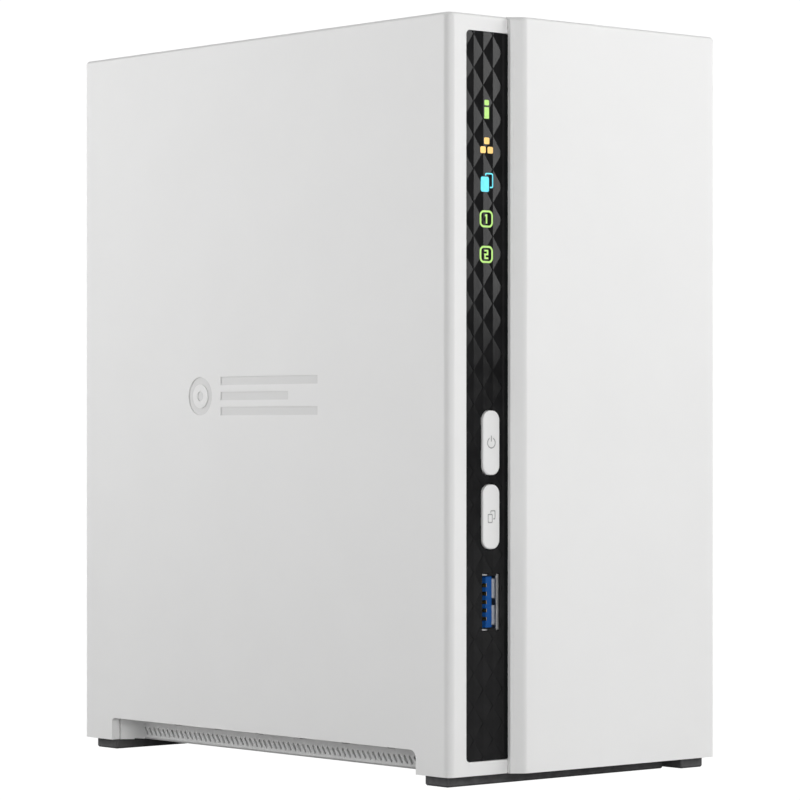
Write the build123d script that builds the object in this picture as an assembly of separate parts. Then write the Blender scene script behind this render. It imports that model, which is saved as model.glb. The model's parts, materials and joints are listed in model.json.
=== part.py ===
from build123d import *
import os

# Two-bay desktop network attached storage, in millimetres.
# X points right as seen from the front, Y points to the back, Z points up.
# The origin is at the bottom centre of the whole object, under the feet.

os.makedirs("parts", exist_ok=True)

# ------------------------------------------------------------------ overall size
WIDTH = 90.18
DEPTH = 156.26
CASE_HEIGHT = 188.39
FOOT_HEIGHT = 2.75
WALL = 2.5
GAP = 0.3                       # between pieces that slide past each other
SLIP = 0.05                     # radial clearance of a screw, pin or shaft in its hole

LEFT = -WIDTH / 2
RIGHT = WIDTH / 2
COVER_FRONT = -DEPTH / 2
REAR = DEPTH / 2
BOTTOM = FOOT_HEIGHT
TOP = FOOT_HEIGHT + CASE_HEIGHT

# ------------------------------------------------------------------ case features
COVER_STEP = 3.51               # how far the cover stands proud of the front frame
FRAME_FRONT = COVER_FRONT + COVER_STEP
FRAME_BACK = FRAME_FRONT + WALL
SEAM_X = -25.48                 # left edge of the cover
SEAM_GAP = 0.12                 # between the cover's left edge and the left shell
FACET_END_X = -22.68            # right edge of the slanted facet beside the seam
FACET_START_Y = -75.65
CORNER_RADIUS = 2.0
REAR_CORNER_RADIUS = 1.5
EDGE_RADIUS = 1.0

WINDOW_LEFT = -39.3             # window for the black front strip
WINDOW_BOTTOM = 6.2
WINDOW_TOP = 187.0
WINDOW_RADIUS = 1.2
LIP_RIGHT = -20.0               # right edge of the lip that the cover overlaps

POCKET_FRONT = -62.3            # air intake pocket along the bottom of a side wall
POCKET_REAR = 65.2
POCKET_X = 38.6                 # distance of the pocket's inner wall from the centre
POCKET_RADIUS = 6.5
POCKET_TOP = 8.8
POCKET_WALL = 1.8
POCKET_ENDS = (POCKET_FRONT - WALL, POCKET_REAR + WALL)
CUTOUT_FRONT_RADIUS = 2.2       # upper corners of the opening in the side wall
CUTOUT_REAR_RADIUS = 1.0
LEDGE_TOP = POCKET_TOP + 1.5
SLOT_COUNT = 58
SLOT_PITCH = 2.02
SLOT_SIZE = (0.75, 2.45)          # width and length of one slanted air slot
SLOT_SLANT = 35.0
SLOT_MID_Z = 5.3
SLOT_MID_Y = 0.5
NOTCH_PITCH = 17.8
NOTCH_FIRST_Y = -46.2
NOTCH_COUNT = 6

RETURN_X = 33.1                 # left edge of the cover's bottom return
TRAY_RIGHT = RETURN_X - GAP
TRAY_LEFT = -42.4
TRAY_FRONT = -72.0
FLOOR_TOP = BOTTOM + WALL
FLOOR_LIFT = 0.3                # the floor's underside between the feet, above the walls' lower edge
FLOOR_BEVEL = 0.5               # along the floor's edge at a pocket
FOOT_BAR_X = (-42.7, 32.7)
FOOT_BAR_Y = ((-71.5, -62.9), (66.2, 75.5))
COVER_FOOT_X = (35.5, 43.5)
COVER_FOOT_Y = ((-75.3, -67.5), (67.6, 75.3))

PANEL_INNER = 74.9              # rear panel
PANEL_THICK = 1.5
PANEL_OUTER = PANEL_INNER + PANEL_THICK
PANEL_HALF_X = 42.2
PANEL_Z = (FLOOR_TOP + GAP, TOP - WALL - GAP)

STRIP_FRONT = FRAME_FRONT + 0.5
STRIP_BACK = FRAME_BACK
STRIP_RIGHT = -24.5
STRIP_FIT = 0.12                # all round, between the strip and its window
FLANGE_BACK = STRIP_BACK + 1.1

# ------------------------------------------------------------------ inside
BOARD_X = (-35.9, -34.3)
BOARD_Y = (-65.2, 70.0)
BOARD_Z = (18.0, 176.0)
BOARD_FACE = BOARD_X[1]

BUTTON_X = -30.85
BUTTON_SIZE = (5.64, 16.05)
BUTTON_RADIUS = 2.4
BUTTON_FRONT = STRIP_FRONT - 0.45
BUTTON_FIT = 0.25               # round the cap
BUTTON_BACK = -67.8             # where the cap's stem meets its plunger
STEM_X = BUTTON_X - 1.5
POWER_Z = 85.06
COPY_Z = 66.69

USB_X = (-33.74, -27.86)
USB_Z = (38.5, 52.5)
USB_FIT = 0.15
USB_WALL = 0.35
USB_LIP = 0.25                  # how far the shell's lip stands out beside the tongue's back
USB_SPRING = (1.3, 4.8)         # start from the shell's end, and length, of a spring window
USB_TONGUE = 5.5                # half the tongue's height
USB_TONGUE_X = (3.55, 1.7)      # its two faces, from the shell's right side
USB_CONTACT_PITCH = 2.08

ICON_X = -32.03
STATUS_Z = 167.75
NETWORK_Z = 158.8
COPY_ICON_Z = 149.65
DRIVE_ICON_Z = (140.59, 131.78)
ICON_FIT = 0.04

FAN_X = 8.0
FAN_Z = 122.3
FAN_SIZE = 60.0
FAN_DEPTH = 25.0
FAN_BORE = 28.0
FAN_SCREW = 25.0                # distance of each screw from the centre, across and up
FAN_SCREW_R = 1.75
FAN_Y = (PANEL_INNER - FAN_DEPTH, PANEL_INNER)

LEAD_X = -30.2                  # lead from the fan to the main board
LEAD_Z = 104.0
LEAD_START_Y = 58.0
LEAD_END_Y = 45.0
LEAD_RADIUS = 1.2
LEAD_BEND = 5.5

DRIVE_LEFT = (-18.05, 11.95)    # left face of each drive
DRIVE_WIDE = 26.1
DRIVE_Y = (-55.8, 45.8)
DRIVE_Z = (17.0, 164.0)
RAIL = 1.8
CAGE_SHEET = 1.2                # sheet-metal cage that holds both drives
CAGE_X = (-20.0, 40.0)
CAGE_FRONT = (-59.2, -58.0)
CAGE_REAR = (48.0, 49.2)
CAGE_FLOOR = (14.0, 14.0 + CAGE_SHEET)
CAGE_TOP = 150.0
BACKPLANE_Z = (10.6, 12.2)
SOCKET_TOP = 21.5
TONGUE_X = (5.2, 6.5)           # drive connector tongue, from the drive's left face

COVER_SCREW_X = 38.0
COVER_SCREW_Z = (9.0, 175.0)
SCREW_R = 1.5
REAR_PORT_Z = {"dc": (22.0, 31.0), "usb": ((37.5, 51.5), (55.0, 69.0)), "lan": (73.0, 89.0)}
REAR_PORT_X = {"dc": (-34.3, -24.3), "usb": (-34.2, -27.6), "lan": (-34.3, -20.8)}
DC_BORE = 3.0
RESET_X = -31.5
RESET_Z = 98.0
LOCK_X = -31.0
LOCK_Z = 165.0


# ------------------------------------------------------------------ helpers
def block(x, y, z):
    """A box between the low and high values of x, y and z."""
    low = Vector(min(x), min(y), min(z))
    size = Vector(max(x), max(y), max(z)) - low
    return Pos(low + size / 2) * Box(size.X, size.Y, size.Z)


def rod(axis, across, along, radius):
    """A cylinder along "x", "y" or "z"; across holds the other two coordinates in order."""
    length = along[1] - along[0]
    middle = (along[0] + along[1]) / 2
    if axis == "x":
        return Pos(middle, across[0], across[1]) * Rot(0, 90, 0) * Cylinder(radius, length)
    if axis == "y":
        return Pos(across[0], middle, across[1]) * Rot(90, 0, 0) * Cylinder(radius, length)
    return Pos(across[0], across[1], middle) * Cylinder(radius, length)


def rounded_y(x, y, z, radius):
    """A box whose four edges along Y are rounded."""
    solid = block(x, y, z)
    return fillet(solid.edges().filter_by(Axis.Y), radius)


def screw_y(x, z, head, tip, radius=SCREW_R, head_radius=2.9, head_height=1.6):
    """A pan-head screw along Y: the head's underside is at y = head, the tip at y = tip."""
    outward = 1 if head > tip else -1
    shank = rod("y", (x, z), sorted((head, tip)), radius)
    cap = rod("y", (x, z), sorted((head, head + outward * head_height)), head_radius)
    cross = block((x - 1.7, x + 1.7), (head + outward * 0.8, head + outward * 3), (z - 0.35, z + 0.35))
    cross += block((x - 0.35, x + 0.35), (head + outward * 0.8, head + outward * 3), (z - 1.7, z + 1.7))
    return shank + cap - cross


def screw_z(x, y, head, tip, radius=SCREW_R):
    """A pan-head screw driven down from the top."""
    cap = rod("z", (x, y), (head, head + 1.6), 2.8)
    cross = block((x - 1.6, x + 1.6), (y - 0.35, y + 0.35), (head + 0.8, head + 3))
    return rod("z", (x, y), (tip, head), radius) + cap - cross


def group(pieces):
    """Several separate solids in one node."""
    return Compound(children=list(pieces))


def save(name, shape):
    export_step(shape, f"parts/{name}.step")


def mirrored(side, solid):
    """The solid itself on the left side, its mirror image on the right side."""
    return solid if side < 0 else mirror(solid, about=Plane.YZ)


# ------------------------------------------------------------------ air intake pocket, both sides
def pocket_plan(grow):
    """Plan of the left pocket, rounded where it turns into the case, grown by a wall."""
    inner = -POCKET_X + grow
    outline = Polyline(
        (LEFT - 3, POCKET_FRONT - grow),
        (inner, POCKET_FRONT - grow),
        (inner, POCKET_REAR + grow),
        (LEFT - 3, POCKET_REAR + grow),
        close=True,
    )
    face = make_face(outline)
    corners = face.vertices().filter_by_position(Axis.X, inner - 0.01, inner + 0.01)
    return fillet(corners, POCKET_RADIUS + grow)


def pocket_space(side):
    space = Pos(0, 0, BOTTOM - 3) * extrude(pocket_plan(0), POCKET_TOP - BOTTOM + 3)
    return mirrored(side, space)


def slanted_slots():
    """Cutters for the row of slanted air slots in the left pocket wall."""
    width, length = SLOT_SIZE
    cutters = []
    for index in range(SLOT_COUNT):
        y = SLOT_MID_Y + (index - (SLOT_COUNT - 1) / 2) * SLOT_PITCH
        cutters.append(Pos(-POCKET_X + 1, y, SLOT_MID_Z) * Rot(-SLOT_SLANT, 0, 0) * Box(6, width, length))
    return cutters


def pocket_wall(side, top, clip):
    """The wall behind the pocket."""
    grown = Pos(0, 0, BOTTOM) * extrude(pocket_plan(POCKET_WALL), top - BOTTOM)
    return mirrored(side, grown - pocket_space(-1) - block((LEFT - 5, clip), (-90, 90), (0, 20)))


def pocket_cuts(side):
    """Cutters for the air slots, the lifted underside between the feet and its bevelled edge."""
    front = POCKET_FRONT - 0.1
    rear = POCKET_REAR + 0.5
    lift = block((-POCKET_X - 1, POCKET_X + 1), (front, rear), (BOTTOM - 1, BOTTOM + FLOOR_LIFT))
    side_length = FLOOR_BEVEL * 2 ** 0.5
    bevel = Box(side_length, rear - front - 2 * POCKET_RADIUS, side_length)
    edge = Pos(-POCKET_X, (front + rear) / 2, BOTTOM + FLOOR_LIFT) * Rot(0, 45, 0) * bevel
    return [mirrored(side, cutter) for cutter in (*slanted_slots(), lift, edge)]


def wall_cutout(side):
    """The low opening in a side wall, with rounded upper corners."""
    cut = block((LEFT - 1, LEFT + WALL + 1.5), (POCKET_FRONT, POCKET_REAR), (BOTTOM - 3, POCKET_TOP))
    upper = cut.edges().filter_by(Axis.X).group_by(Axis.Z)[-1].sort_by(Axis.Y)
    cut = fillet(upper[0], CUTOUT_FRONT_RADIUS)
    upper = cut.edges().filter_by(Axis.X).group_by(Axis.Z)[-1].sort_by(Axis.Y)
    return mirrored(side, fillet(upper[-1], CUTOUT_REAR_RADIUS))


# ------------------------------------------------------------------ case
def side_mark():
    """A plain decorative mark let into the left wall: a ring with a dot, then three bars."""
    middle_z = 97.3
    height = 10.2
    depth = (LEFT - 1, LEFT + 0.45)
    ring_y = 30.4 - height / 2
    mark = rod("x", (ring_y, middle_z), depth, height / 2) - rod("x", (ring_y, middle_z), depth, 3.2)
    mark += rod("x", (ring_y, middle_z), depth, 1.3)
    bar = 2.2
    for index, end_y in enumerate((-24.0, -12.0, -24.0)):
        bar_z = middle_z + (index - 1) * (height - bar) / 2
        mark += block(depth, (end_y, 16.5), (bar_z - bar / 2, bar_z + bar / 2))
    return mark


def left_shell():
    """Left wall, left part of the front frame and left part of the top, in one moulding."""
    shell = block((LEFT, SEAM_X - SEAM_GAP), (FRAME_FRONT, REAR), (BOTTOM, TOP))
    verticals = shell.edges().filter_by(Axis.Z).group_by(Axis.X)[0].sort_by(Axis.Y)
    shell = fillet(verticals[0], CORNER_RADIUS)
    rear_edge = shell.edges().filter_by(Axis.Z).group_by(Axis.X)[0].sort_by(Axis.Y)[-1]
    shell = fillet(rear_edge, REAR_CORNER_RADIUS)
    top = shell.faces().sort_by(Axis.Z)[-1]
    rim = [edge for edge in top.edges() if edge.center().X < SEAM_X - 0.2]
    shell = fillet(rim, EDGE_RADIUS)
    shell -= block((LEFT + WALL, 0), (FRAME_BACK, REAR + 1), (0, TOP - WALL))
    window_y = (FRAME_FRONT - 1, FRAME_BACK + 1)
    shell -= rounded_y((WINDOW_LEFT, 0), window_y, (WINDOW_BOTTOM, WINDOW_TOP), WINDOW_RADIUS)
    # lip behind the cover's left edge, bridged to the frame above and below the window
    lip_y = (FRAME_FRONT + SEAM_GAP, FRAME_BACK)
    lip_top = TOP - WALL - GAP
    bridge_left = SEAM_X - 2.4
    shell += block((STRIP_RIGHT + 0.2, LIP_RIGHT), lip_y, (FLOOR_TOP, lip_top))
    shell += block((bridge_left, LIP_RIGHT), lip_y, (WINDOW_TOP, lip_top))
    shell += block((bridge_left, LIP_RIGHT), lip_y, (BOTTOM + 0.2, WINDOW_BOTTOM))
    # tongue under the cover's top
    tongue_y = (FLANGE_BACK + 0.2, PANEL_INNER)
    tongue_bottom = TOP - WALL - 2.4
    shell += block((bridge_left, LIP_RIGHT - 1), tongue_y, (tongue_bottom, lip_top))
    shell += block((bridge_left, SEAM_X - SEAM_GAP), tongue_y, (tongue_bottom, TOP - WALL + 0.5))
    # ledge over the air pocket
    shell += block((LEFT + 1, -POCKET_X + POCKET_WALL), POCKET_ENDS, (POCKET_TOP, LEDGE_TOP))
    shell -= wall_cutout(-1)
    for y, z in board_screw_places():
        shell += rod("x", (y, z), (LEFT + WALL - 0.5, BOARD_X[0]), 3.0)
        shell -= rod("x", (y, z), (LEFT + WALL, BOARD_X[0] + 1), 1.25 + SLIP)
    for z in left_rear_screw_heights():
        shell += block((LEFT + WALL - 0.5, -36.2), (64, PANEL_INNER), (z - 4, z + 4))
        shell -= rod("y", (-39.4, z), (66, PANEL_INNER + 1), SCREW_R + SLIP)
    return shell - side_mark()


def board_screw_places():
    return [(-58.0, 24.0), (-58.0, 122.0), (60.0, 110.0), (60.0, 150.0)]


def left_rear_screw_heights():
    return [14.2, 181.0]


def side_cover():
    """Front plate, right wall and most of the top: it slides forward off the case."""
    plan = Polyline(
        (SEAM_X, FRAME_FRONT - 0.1),
        (SEAM_X, FACET_START_Y),
        (FACET_END_X, COVER_FRONT),
        (RIGHT, COVER_FRONT),
        (RIGHT, REAR),
        (SEAM_X, REAR),
        close=True,
    )
    cover = Pos(0, 0, BOTTOM) * extrude(make_face(plan), CASE_HEIGHT)
    uprights = cover.edges().filter_by(Axis.Z)
    cover = fillet(uprights.sort_by_distance((FACET_END_X, COVER_FRONT, TOP / 2))[0], 2.0)
    uprights = cover.edges().filter_by(Axis.Z)
    cover = fillet(uprights.sort_by_distance((RIGHT, COVER_FRONT, TOP / 2))[0], 1.25)
    uprights = cover.edges().filter_by(Axis.Z)
    cover = fillet(uprights.sort_by_distance((RIGHT, REAR, TOP / 2))[0], REAR_CORNER_RADIUS)
    top = cover.faces().sort_by(Axis.Z)[-1]
    rim = [edge for edge in top.edges() if edge.center().X > SEAM_X + 0.2]
    cover = fillet(rim, EDGE_RADIUS)
    cover -= block((SEAM_X - 1, RIGHT - WALL), (COVER_FRONT + WALL, REAR + 1), (0, TOP - WALL))
    # return flange that keeps the slanted facet thick
    flange_x = (SEAM_X, LIP_RIGHT - 1)
    flange_z = (BOTTOM, TOP - WALL)
    cover += block((SEAM_X + 0.6, flange_x[1]), (FACET_START_Y - 0.6, FRAME_FRONT - 0.1), flange_z)
    cover += block(flange_x, (FACET_START_Y, FRAME_FRONT - 0.1), flange_z)
    # bottom return, air pocket and its wall
    cover += block((RETURN_X, RIGHT - 1), (COVER_FRONT + 1, REAR), (BOTTOM, FLOOR_TOP))
    cover += block((LIP_RIGHT + 0.4, RIGHT - 1), (COVER_FRONT + 1, TRAY_FRONT - GAP), (BOTTOM, FLOOR_TOP))
    cover += block((POCKET_X - POCKET_WALL, RIGHT - 1), POCKET_ENDS, (POCKET_TOP, LEDGE_TOP))
    cover -= pocket_space(1)
    cover += pocket_wall(1, POCKET_TOP, LEFT + WALL)
    cover -= wall_cutout(1)
    cover -= pocket_cuts(1)
    # bosses for the two screws that hold the cover from behind
    for z in COVER_SCREW_Z:
        low = z - 3.4 if z < 20 else z - 4
        cover += block((34, RIGHT - 1), (63, PANEL_INNER - 0.2), (low, z + 3.4))
        cover -= rod("y", (COVER_SCREW_X, z), (63.4, PANEL_INNER), SCREW_R + SLIP)
    # two stiffening ribs inside the front plate
    for z in (66.0, 128.0):
        cover += block((LIP_RIGHT + 0.6, RIGHT - 1), (COVER_FRONT + 1, COVER_FRONT + 4.3), (z - 0.8, z + 0.8))
    return cover


def base_tray():
    """Floor of the case, with the wall behind the left air pocket."""
    tray = block((TRAY_LEFT, TRAY_RIGHT), (TRAY_FRONT, REAR), (BOTTOM, FLOOR_TOP))
    tray -= pocket_space(-1)
    tray += pocket_wall(-1, POCKET_TOP - 0.2, TRAY_LEFT)
    tray -= pocket_cuts(-1)
    for index in range(NOTCH_COUNT):
        y = NOTCH_FIRST_Y + index * NOTCH_PITCH
        notch_z = (POCKET_TOP - 1.1, POCKET_TOP + 1)
        tray -= block((-POCKET_X - 1, -POCKET_X + 0.8), (y - 0.9, y + 2.4), notch_z)
    # air slots in the floor under the drives
    for row_y in (-44.0, -20.0, 4.0, 28.0):
        for index in range(9):
            x = -17 + index * 5.2
            tray -= block((x - 1.1, x + 1.1), (row_y - 9, row_y + 9), (BOTTOM - 1, FLOOR_TOP + 1))
    # boss for the rear panel screw
    tray += block((9, 19), (68, PANEL_INNER), (FLOOR_TOP - 0.5, 14))
    tray -= rod("y", (14, 9.5), (69, PANEL_INNER + 1), SCREW_R + SLIP)
    # pillars under the backplane
    for x, y in backplane_pillars():
        tray += rod("z", (x, y), (FLOOR_TOP - 0.5, BACKPLANE_Z[0]), 2.4)
    for x, y in cage_screw_places():
        tray -= rod("z", (x, y), (BOTTOM + 0.9, FLOOR_TOP + 1), SCREW_R + SLIP)
    return tray


def backplane_pillars():
    return [(-24.0, -50.2), (-24.0, 0.5), (24.6, -50.2), (24.6, 0.5)]


def cage_screw_places():
    return [(-12.0, -63.0), (24.0, -63.0), (-12.0, 53.0), (24.0, 53.0)]


# ------------------------------------------------------------------ front strip, icons and buttons
def icon_plan(pieces):
    """Fuse flat shapes given as (x centre, z centre, width, height, corner radius)."""
    plan = None
    for x, z, wide, high, radius in pieces:
        shape = RectangleRounded(wide, high, radius) if radius else Rectangle(wide, high)
        shape = Pos(x, z) * shape
        plan = shape if plan is None else plan + shape
    return plan


def to_front(plan, grow=0.0):
    """Turn a plan drawn in X and Z into a solid through the strip; grow makes the hole for it."""
    if grow:
        plan = offset(plan, grow)
    back = FLANGE_BACK
    plane = Plane(origin=(0, back, 0), x_dir=(1, 0, 0), z_dir=(0, -1, 0))
    return extrude(plane * plan, back - STRIP_FRONT)


def status_plan():
    dot = (ICON_X, STATUS_Z + 1.68, 1.54, 1.35, 0.35)
    stem = (ICON_X, STATUS_Z - 0.87, 1.54, 2.85, 0.2)
    return [icon_plan([dot]), icon_plan([stem])]


def network_plan():
    """Three rounded squares, one above two."""
    places = [(0, 1.16), (-1.2, -1.1), (1.2, -1.1)]
    return [icon_plan([(ICON_X + x, NETWORK_Z + z, 1.75, 1.65, 0.35)]) for x, z in places]


def copy_plan():
    front = (ICON_X - 0.6, COPY_ICON_Z - 0.48, 2.68, 3.75, 0.5)
    rear_sheet = (ICON_X + 0.8, COPY_ICON_Z + 0.5, 2.68, 3.75, 0.5)
    outline = icon_plan([rear_sheet]) - icon_plan([(rear_sheet[0], rear_sheet[1], 2.0, 3.07, 0.3)])
    outline -= icon_plan([(front[0], front[1], front[2] + 0.6, front[3] + 0.6, 0.6)])
    return [icon_plan([front]), outline]


def digit_strokes(number, x, z):
    """Strokes of the digit 1 or 2, 2.3 high."""
    stroke = 0.42
    if number == 1:
        return [(x + 0.1, z, stroke, 2.3, 0), (x - 0.2, z + 0.85, 0.5, stroke, 0)]
    flat = [(x, z + step * 0.94, 1.3, stroke, 0) for step in (-1, 0, 1)]
    return flat + [(x + 0.44, z + 0.47, stroke, 1.3, 0), (x - 0.44, z - 0.47, stroke, 1.3, 0)]


def drive_plan(number, z):
    """A rounded outline with the drive's number in it."""
    x = ICON_X - 0.13
    outline = Pos(x, z) * RectangleRounded(4.36, 4.24, 1.3) - Pos(x, z) * RectangleRounded(3.4, 3.28, 0.85)
    return [outline, icon_plan(digit_strokes(number, x, z))]


def icon_plans():
    return {
        "status_lens": status_plan(),
        "network_lens": network_plan(),
        "copy_lens": copy_plan(),
        "drive_1_lens": drive_plan(1, DRIVE_ICON_Z[0]),
        "drive_2_lens": drive_plan(2, DRIVE_ICON_Z[1]),
    }


def button_cap(z, front, back, grow=0.0):
    x = (BUTTON_X - BUTTON_SIZE[0] / 2 - grow, BUTTON_X + BUTTON_SIZE[0] / 2 + grow)
    high = BUTTON_SIZE[1] / 2 + grow
    return rounded_y(x, (front, back), (z - high, z + high), BUTTON_RADIUS + grow)


def status_panel():
    """The black front strip, with a flange behind the window's edge."""
    face_z = (WINDOW_BOTTOM + STRIP_FIT, WINDOW_TOP - STRIP_FIT)
    panel = rounded_y((WINDOW_LEFT + STRIP_FIT, STRIP_RIGHT), (STRIP_FRONT, STRIP_BACK), face_z, 1.0)
    panel += block((-41.4, STRIP_RIGHT), (STRIP_BACK, FLANGE_BACK), (WINDOW_BOTTOM - 0.8, WINDOW_TOP + 1.0))
    for plans in icon_plans().values():
        for plan in plans:
            panel -= to_front(plan, ICON_FIT)
    for z in (POWER_Z, COPY_Z):
        panel -= button_cap(z, STRIP_FRONT - 1, FLANGE_BACK + 1, grow=BUTTON_FIT)
    hole_x = (USB_X[0] - USB_FIT, USB_X[1] + USB_LIP + USB_FIT)
    hole_z = (USB_Z[0] - USB_FIT, USB_Z[1] + USB_FIT)
    return panel - rounded_y(hole_x, (STRIP_FRONT - 1, FLANGE_BACK + 1), hole_z, 0.5)


def button(z, symbol):
    """A white push cap with a retaining flange, a stem and a shallow symbol."""
    flange_y = (FLANGE_BACK + 0.15, FLANGE_BACK + 1.15)
    cap = button_cap(z, BUTTON_FRONT, flange_y[0] + 0.2)
    front_rim = cap.faces().sort_by(Axis.Y)[0].edges()
    cap = fillet(front_rim, 0.35)
    cap += rounded_y((BUTTON_X - 4, BUTTON_X + 4), flange_y, (z - 8.9, z + 8.9), 1.5)
    cap += rod("y", (STEM_X, z), (flange_y[1] - 0.2, BUTTON_BACK), 1.6)
    return cap - symbol


def engraved(plan):
    """Turn a plan in X and Z into a shallow cut in a button's front."""
    depth = 0.2
    plane = Plane(origin=(0, BUTTON_FRONT + depth, 0), x_dir=(1, 0, 0), z_dir=(0, -1, 0))
    return extrude(plane * plan, depth + 1)


def power_symbol():
    ring = Circle(1.45) - Circle(1.1)
    ring -= Pos(0, 1.4) * Rectangle(1.1, 1.6)
    ring += Pos(0, 1.05) * Rectangle(0.35, 1.5)
    return engraved(Pos(BUTTON_X, POWER_Z) * ring)


def copy_symbol():
    sheet = RectangleRounded(1.7, 2.3, 0.3) - RectangleRounded(1.1, 1.7, 0.15)
    front_sheet = Pos(-0.4, -0.4) * sheet
    rear_sheet = Pos(0.5, 0.5) * sheet - Pos(-0.4, -0.4) * Rectangle(2.0, 2.6)
    return engraved(Pos(BUTTON_X, COPY_Z) * (front_sheet + rear_sheet))


def tact_switch(z):
    """Side-pressed switch on the front edge of the main board, with a bore for its plunger."""
    body = block((BOARD_FACE, -30.4), (-66.0, -61.6), (z - 3, z + 3))
    return body - rod("y", (STEM_X, z), (-67, -64.2), 1.0)


def plunger(z):
    return rod("y", (STEM_X, z), (BUTTON_BACK, -65.0), 0.9)


def light_guide():
    """Black baffle with one light well behind each icon."""
    guide = block((-35.6, -28.4), (FLANGE_BACK + 0.05, BOARD_Y[0] - 0.1), (126.5, 172.5))
    for z in led_heights():
        guide -= block((-34.9, -29.1), (-80, -60), (z - 3.1, z + 3.1))
    return guide


def led_heights():
    return [STATUS_Z, NETWORK_Z, COPY_ICON_Z, *DRIVE_ICON_Z]


def status_leds():
    return group([block((BOARD_FACE, -33.1), (BOARD_Y[0], -63.6), (z - 1, z + 1)) for z in led_heights()])


# ------------------------------------------------------------------ sockets
def usb_shell(x, y, z, front):
    """Vertical USB socket shell, its mouth at y = front; open at the mouth only."""
    mouth, rear = (y[0], y[1]) if front else (y[1], y[0])
    inward = 1 if front else -1
    inner_x = (x[0] + USB_WALL, x[1] - USB_WALL)
    inner_z = (z[0] + USB_WALL, z[1] - USB_WALL)
    shell = rounded_y(x, y, z, 0.5)
    shell -= block(inner_x, (mouth - inward, rear - inward * 0.4), inner_z)
    # spring windows in the wall that faces the tongue's back
    start, length = USB_SPRING
    for low in (z[0] + start, z[1] - start - length):
        window_y = (mouth + inward * 2.2, mouth + inward * 7.2)
        shell -= block((x[1] - 1, x[1] + 1), window_y, (low, low + length))
    lip_y = (mouth, mouth + inward * 0.35)
    return shell + block((x[1] - 0.75, x[1] + USB_LIP), lip_y, (z[0] + 0.1, z[1] - 0.1))


def usb_tongue(x, y, z, front):
    """Plastic tongue, grooved for its contacts, with a solid root at the back of the socket."""
    mouth, rear = (y[0], y[1]) if front else (y[1], y[0])
    inward = 1 if front else -1
    root_x = (x[0] + USB_WALL, x[1] - USB_WALL)
    root_z = (z[0] + USB_WALL, z[1] - USB_WALL)
    root = block(root_x, (rear - inward * 0.4, rear - inward * 4.0), root_z)
    tongue_x = (x[1] - USB_TONGUE_X[0], x[1] - USB_TONGUE_X[1])
    mid = (z[0] + z[1]) / 2
    tongue_y = (rear - inward * 3.5, mouth + inward * 0.9)
    tongue = block(tongue_x, tongue_y, (mid - USB_TONGUE, mid + USB_TONGUE))
    rim = tongue.faces().sort_by(Axis.Y)[0 if front else -1].edges()
    tongue = chamfer(rim, 0.3)
    for at in contact_heights(z):
        groove_y = (rear - inward * 4.0, mouth)
        tongue -= block((tongue_x[0] - 1, tongue_x[0] + 0.45), groove_y, (at - 0.5, at + 0.5))
    return root + tongue


def contact_heights(z):
    """Heights of the five contacts of a socket between the two values of z."""
    return [(z[0] + z[1]) / 2 + step * USB_CONTACT_PITCH for step in (-2, -1, 0, 1, 2)]


def usb_contacts(x, y, z, front):
    """Five thin contact strips, one at the bottom of each groove."""
    mouth, rear = (y[0], y[1]) if front else (y[1], y[0])
    inward = 1 if front else -1
    face = x[1] - USB_TONGUE_X[0]
    strip_y = (mouth + inward * 1.1, rear - inward * 4.0)
    return [block((face + 0.3, face + 0.45), strip_y, (at - 0.4, at + 0.4)) for at in contact_heights(z)]


FRONT_USB_Y = (STRIP_FRONT + 0.45, -56.0)
REAR_USB_Y = (60.0, PANEL_OUTER + 0.4)


def ethernet_port():
    """Socket body with a stepped mouth and a latch notch."""
    x = REAR_PORT_X["lan"]
    z = REAR_PORT_Z["lan"]
    mid = (z[0] + z[1]) / 2
    port = block(x, (56, PANEL_OUTER + 0.3), z)
    port -= block((x[0] + 2.6, x[1] - 1.4), (63, 90), (mid - 6.0, mid + 6.0))
    port -= block((x[0] + 1.0, x[0] + 3.0), (66, 90), (mid - 3.2, mid + 3.2))
    return port


def dc_power_jack():
    x = REAR_PORT_X["dc"]
    z = REAR_PORT_Z["dc"]
    axis = dc_axis()
    jack = block(x, (62, PANEL_OUTER + 0.3), z)
    return jack - rod("y", axis, (65, 90), DC_BORE)


def dc_axis():
    x = REAR_PORT_X["dc"]
    z = REAR_PORT_Z["dc"]
    return ((x[0] + x[1]) / 2, (z[0] + z[1]) / 2)


def dc_jack_pin():
    return rod("y", dc_axis(), (65, PANEL_OUTER - 1.5), 1.0)


def reset_switch():
    body = block((BOARD_FACE, -28.7), (67.6, 71.4), (RESET_Z - 3, RESET_Z + 3))
    return body - rod("y", (RESET_X, RESET_Z), (68.4, 80), 1.15)


def reset_button():
    return rod("y", (RESET_X, RESET_Z), (69.0, 73.6), 1.05)


# ------------------------------------------------------------------ rear panel
def fan_grille_cuts():
    """Arc-shaped openings in rings round the fan's centre, with four spokes left standing."""
    cuts = []
    for inner in (5.0, 9.4, 13.8, 18.2, 22.6):
        ring = rod("y", (FAN_X, FAN_Z), (70, 80), inner + 3.2) - rod("y", (FAN_X, FAN_Z), (69, 81), inner)
        for turn in (45, 135):
            spoke = Pos(FAN_X, 75, FAN_Z) * Rot(0, turn, 0) * Box(70, 20, 2.2)
            ring -= spoke
        cuts.append(ring)
    return cuts


def fan_screw_places():
    return [(FAN_X + sx * FAN_SCREW, FAN_Z + sz * FAN_SCREW) for sx in (-1, 1) for sz in (-1, 1)]


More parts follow.
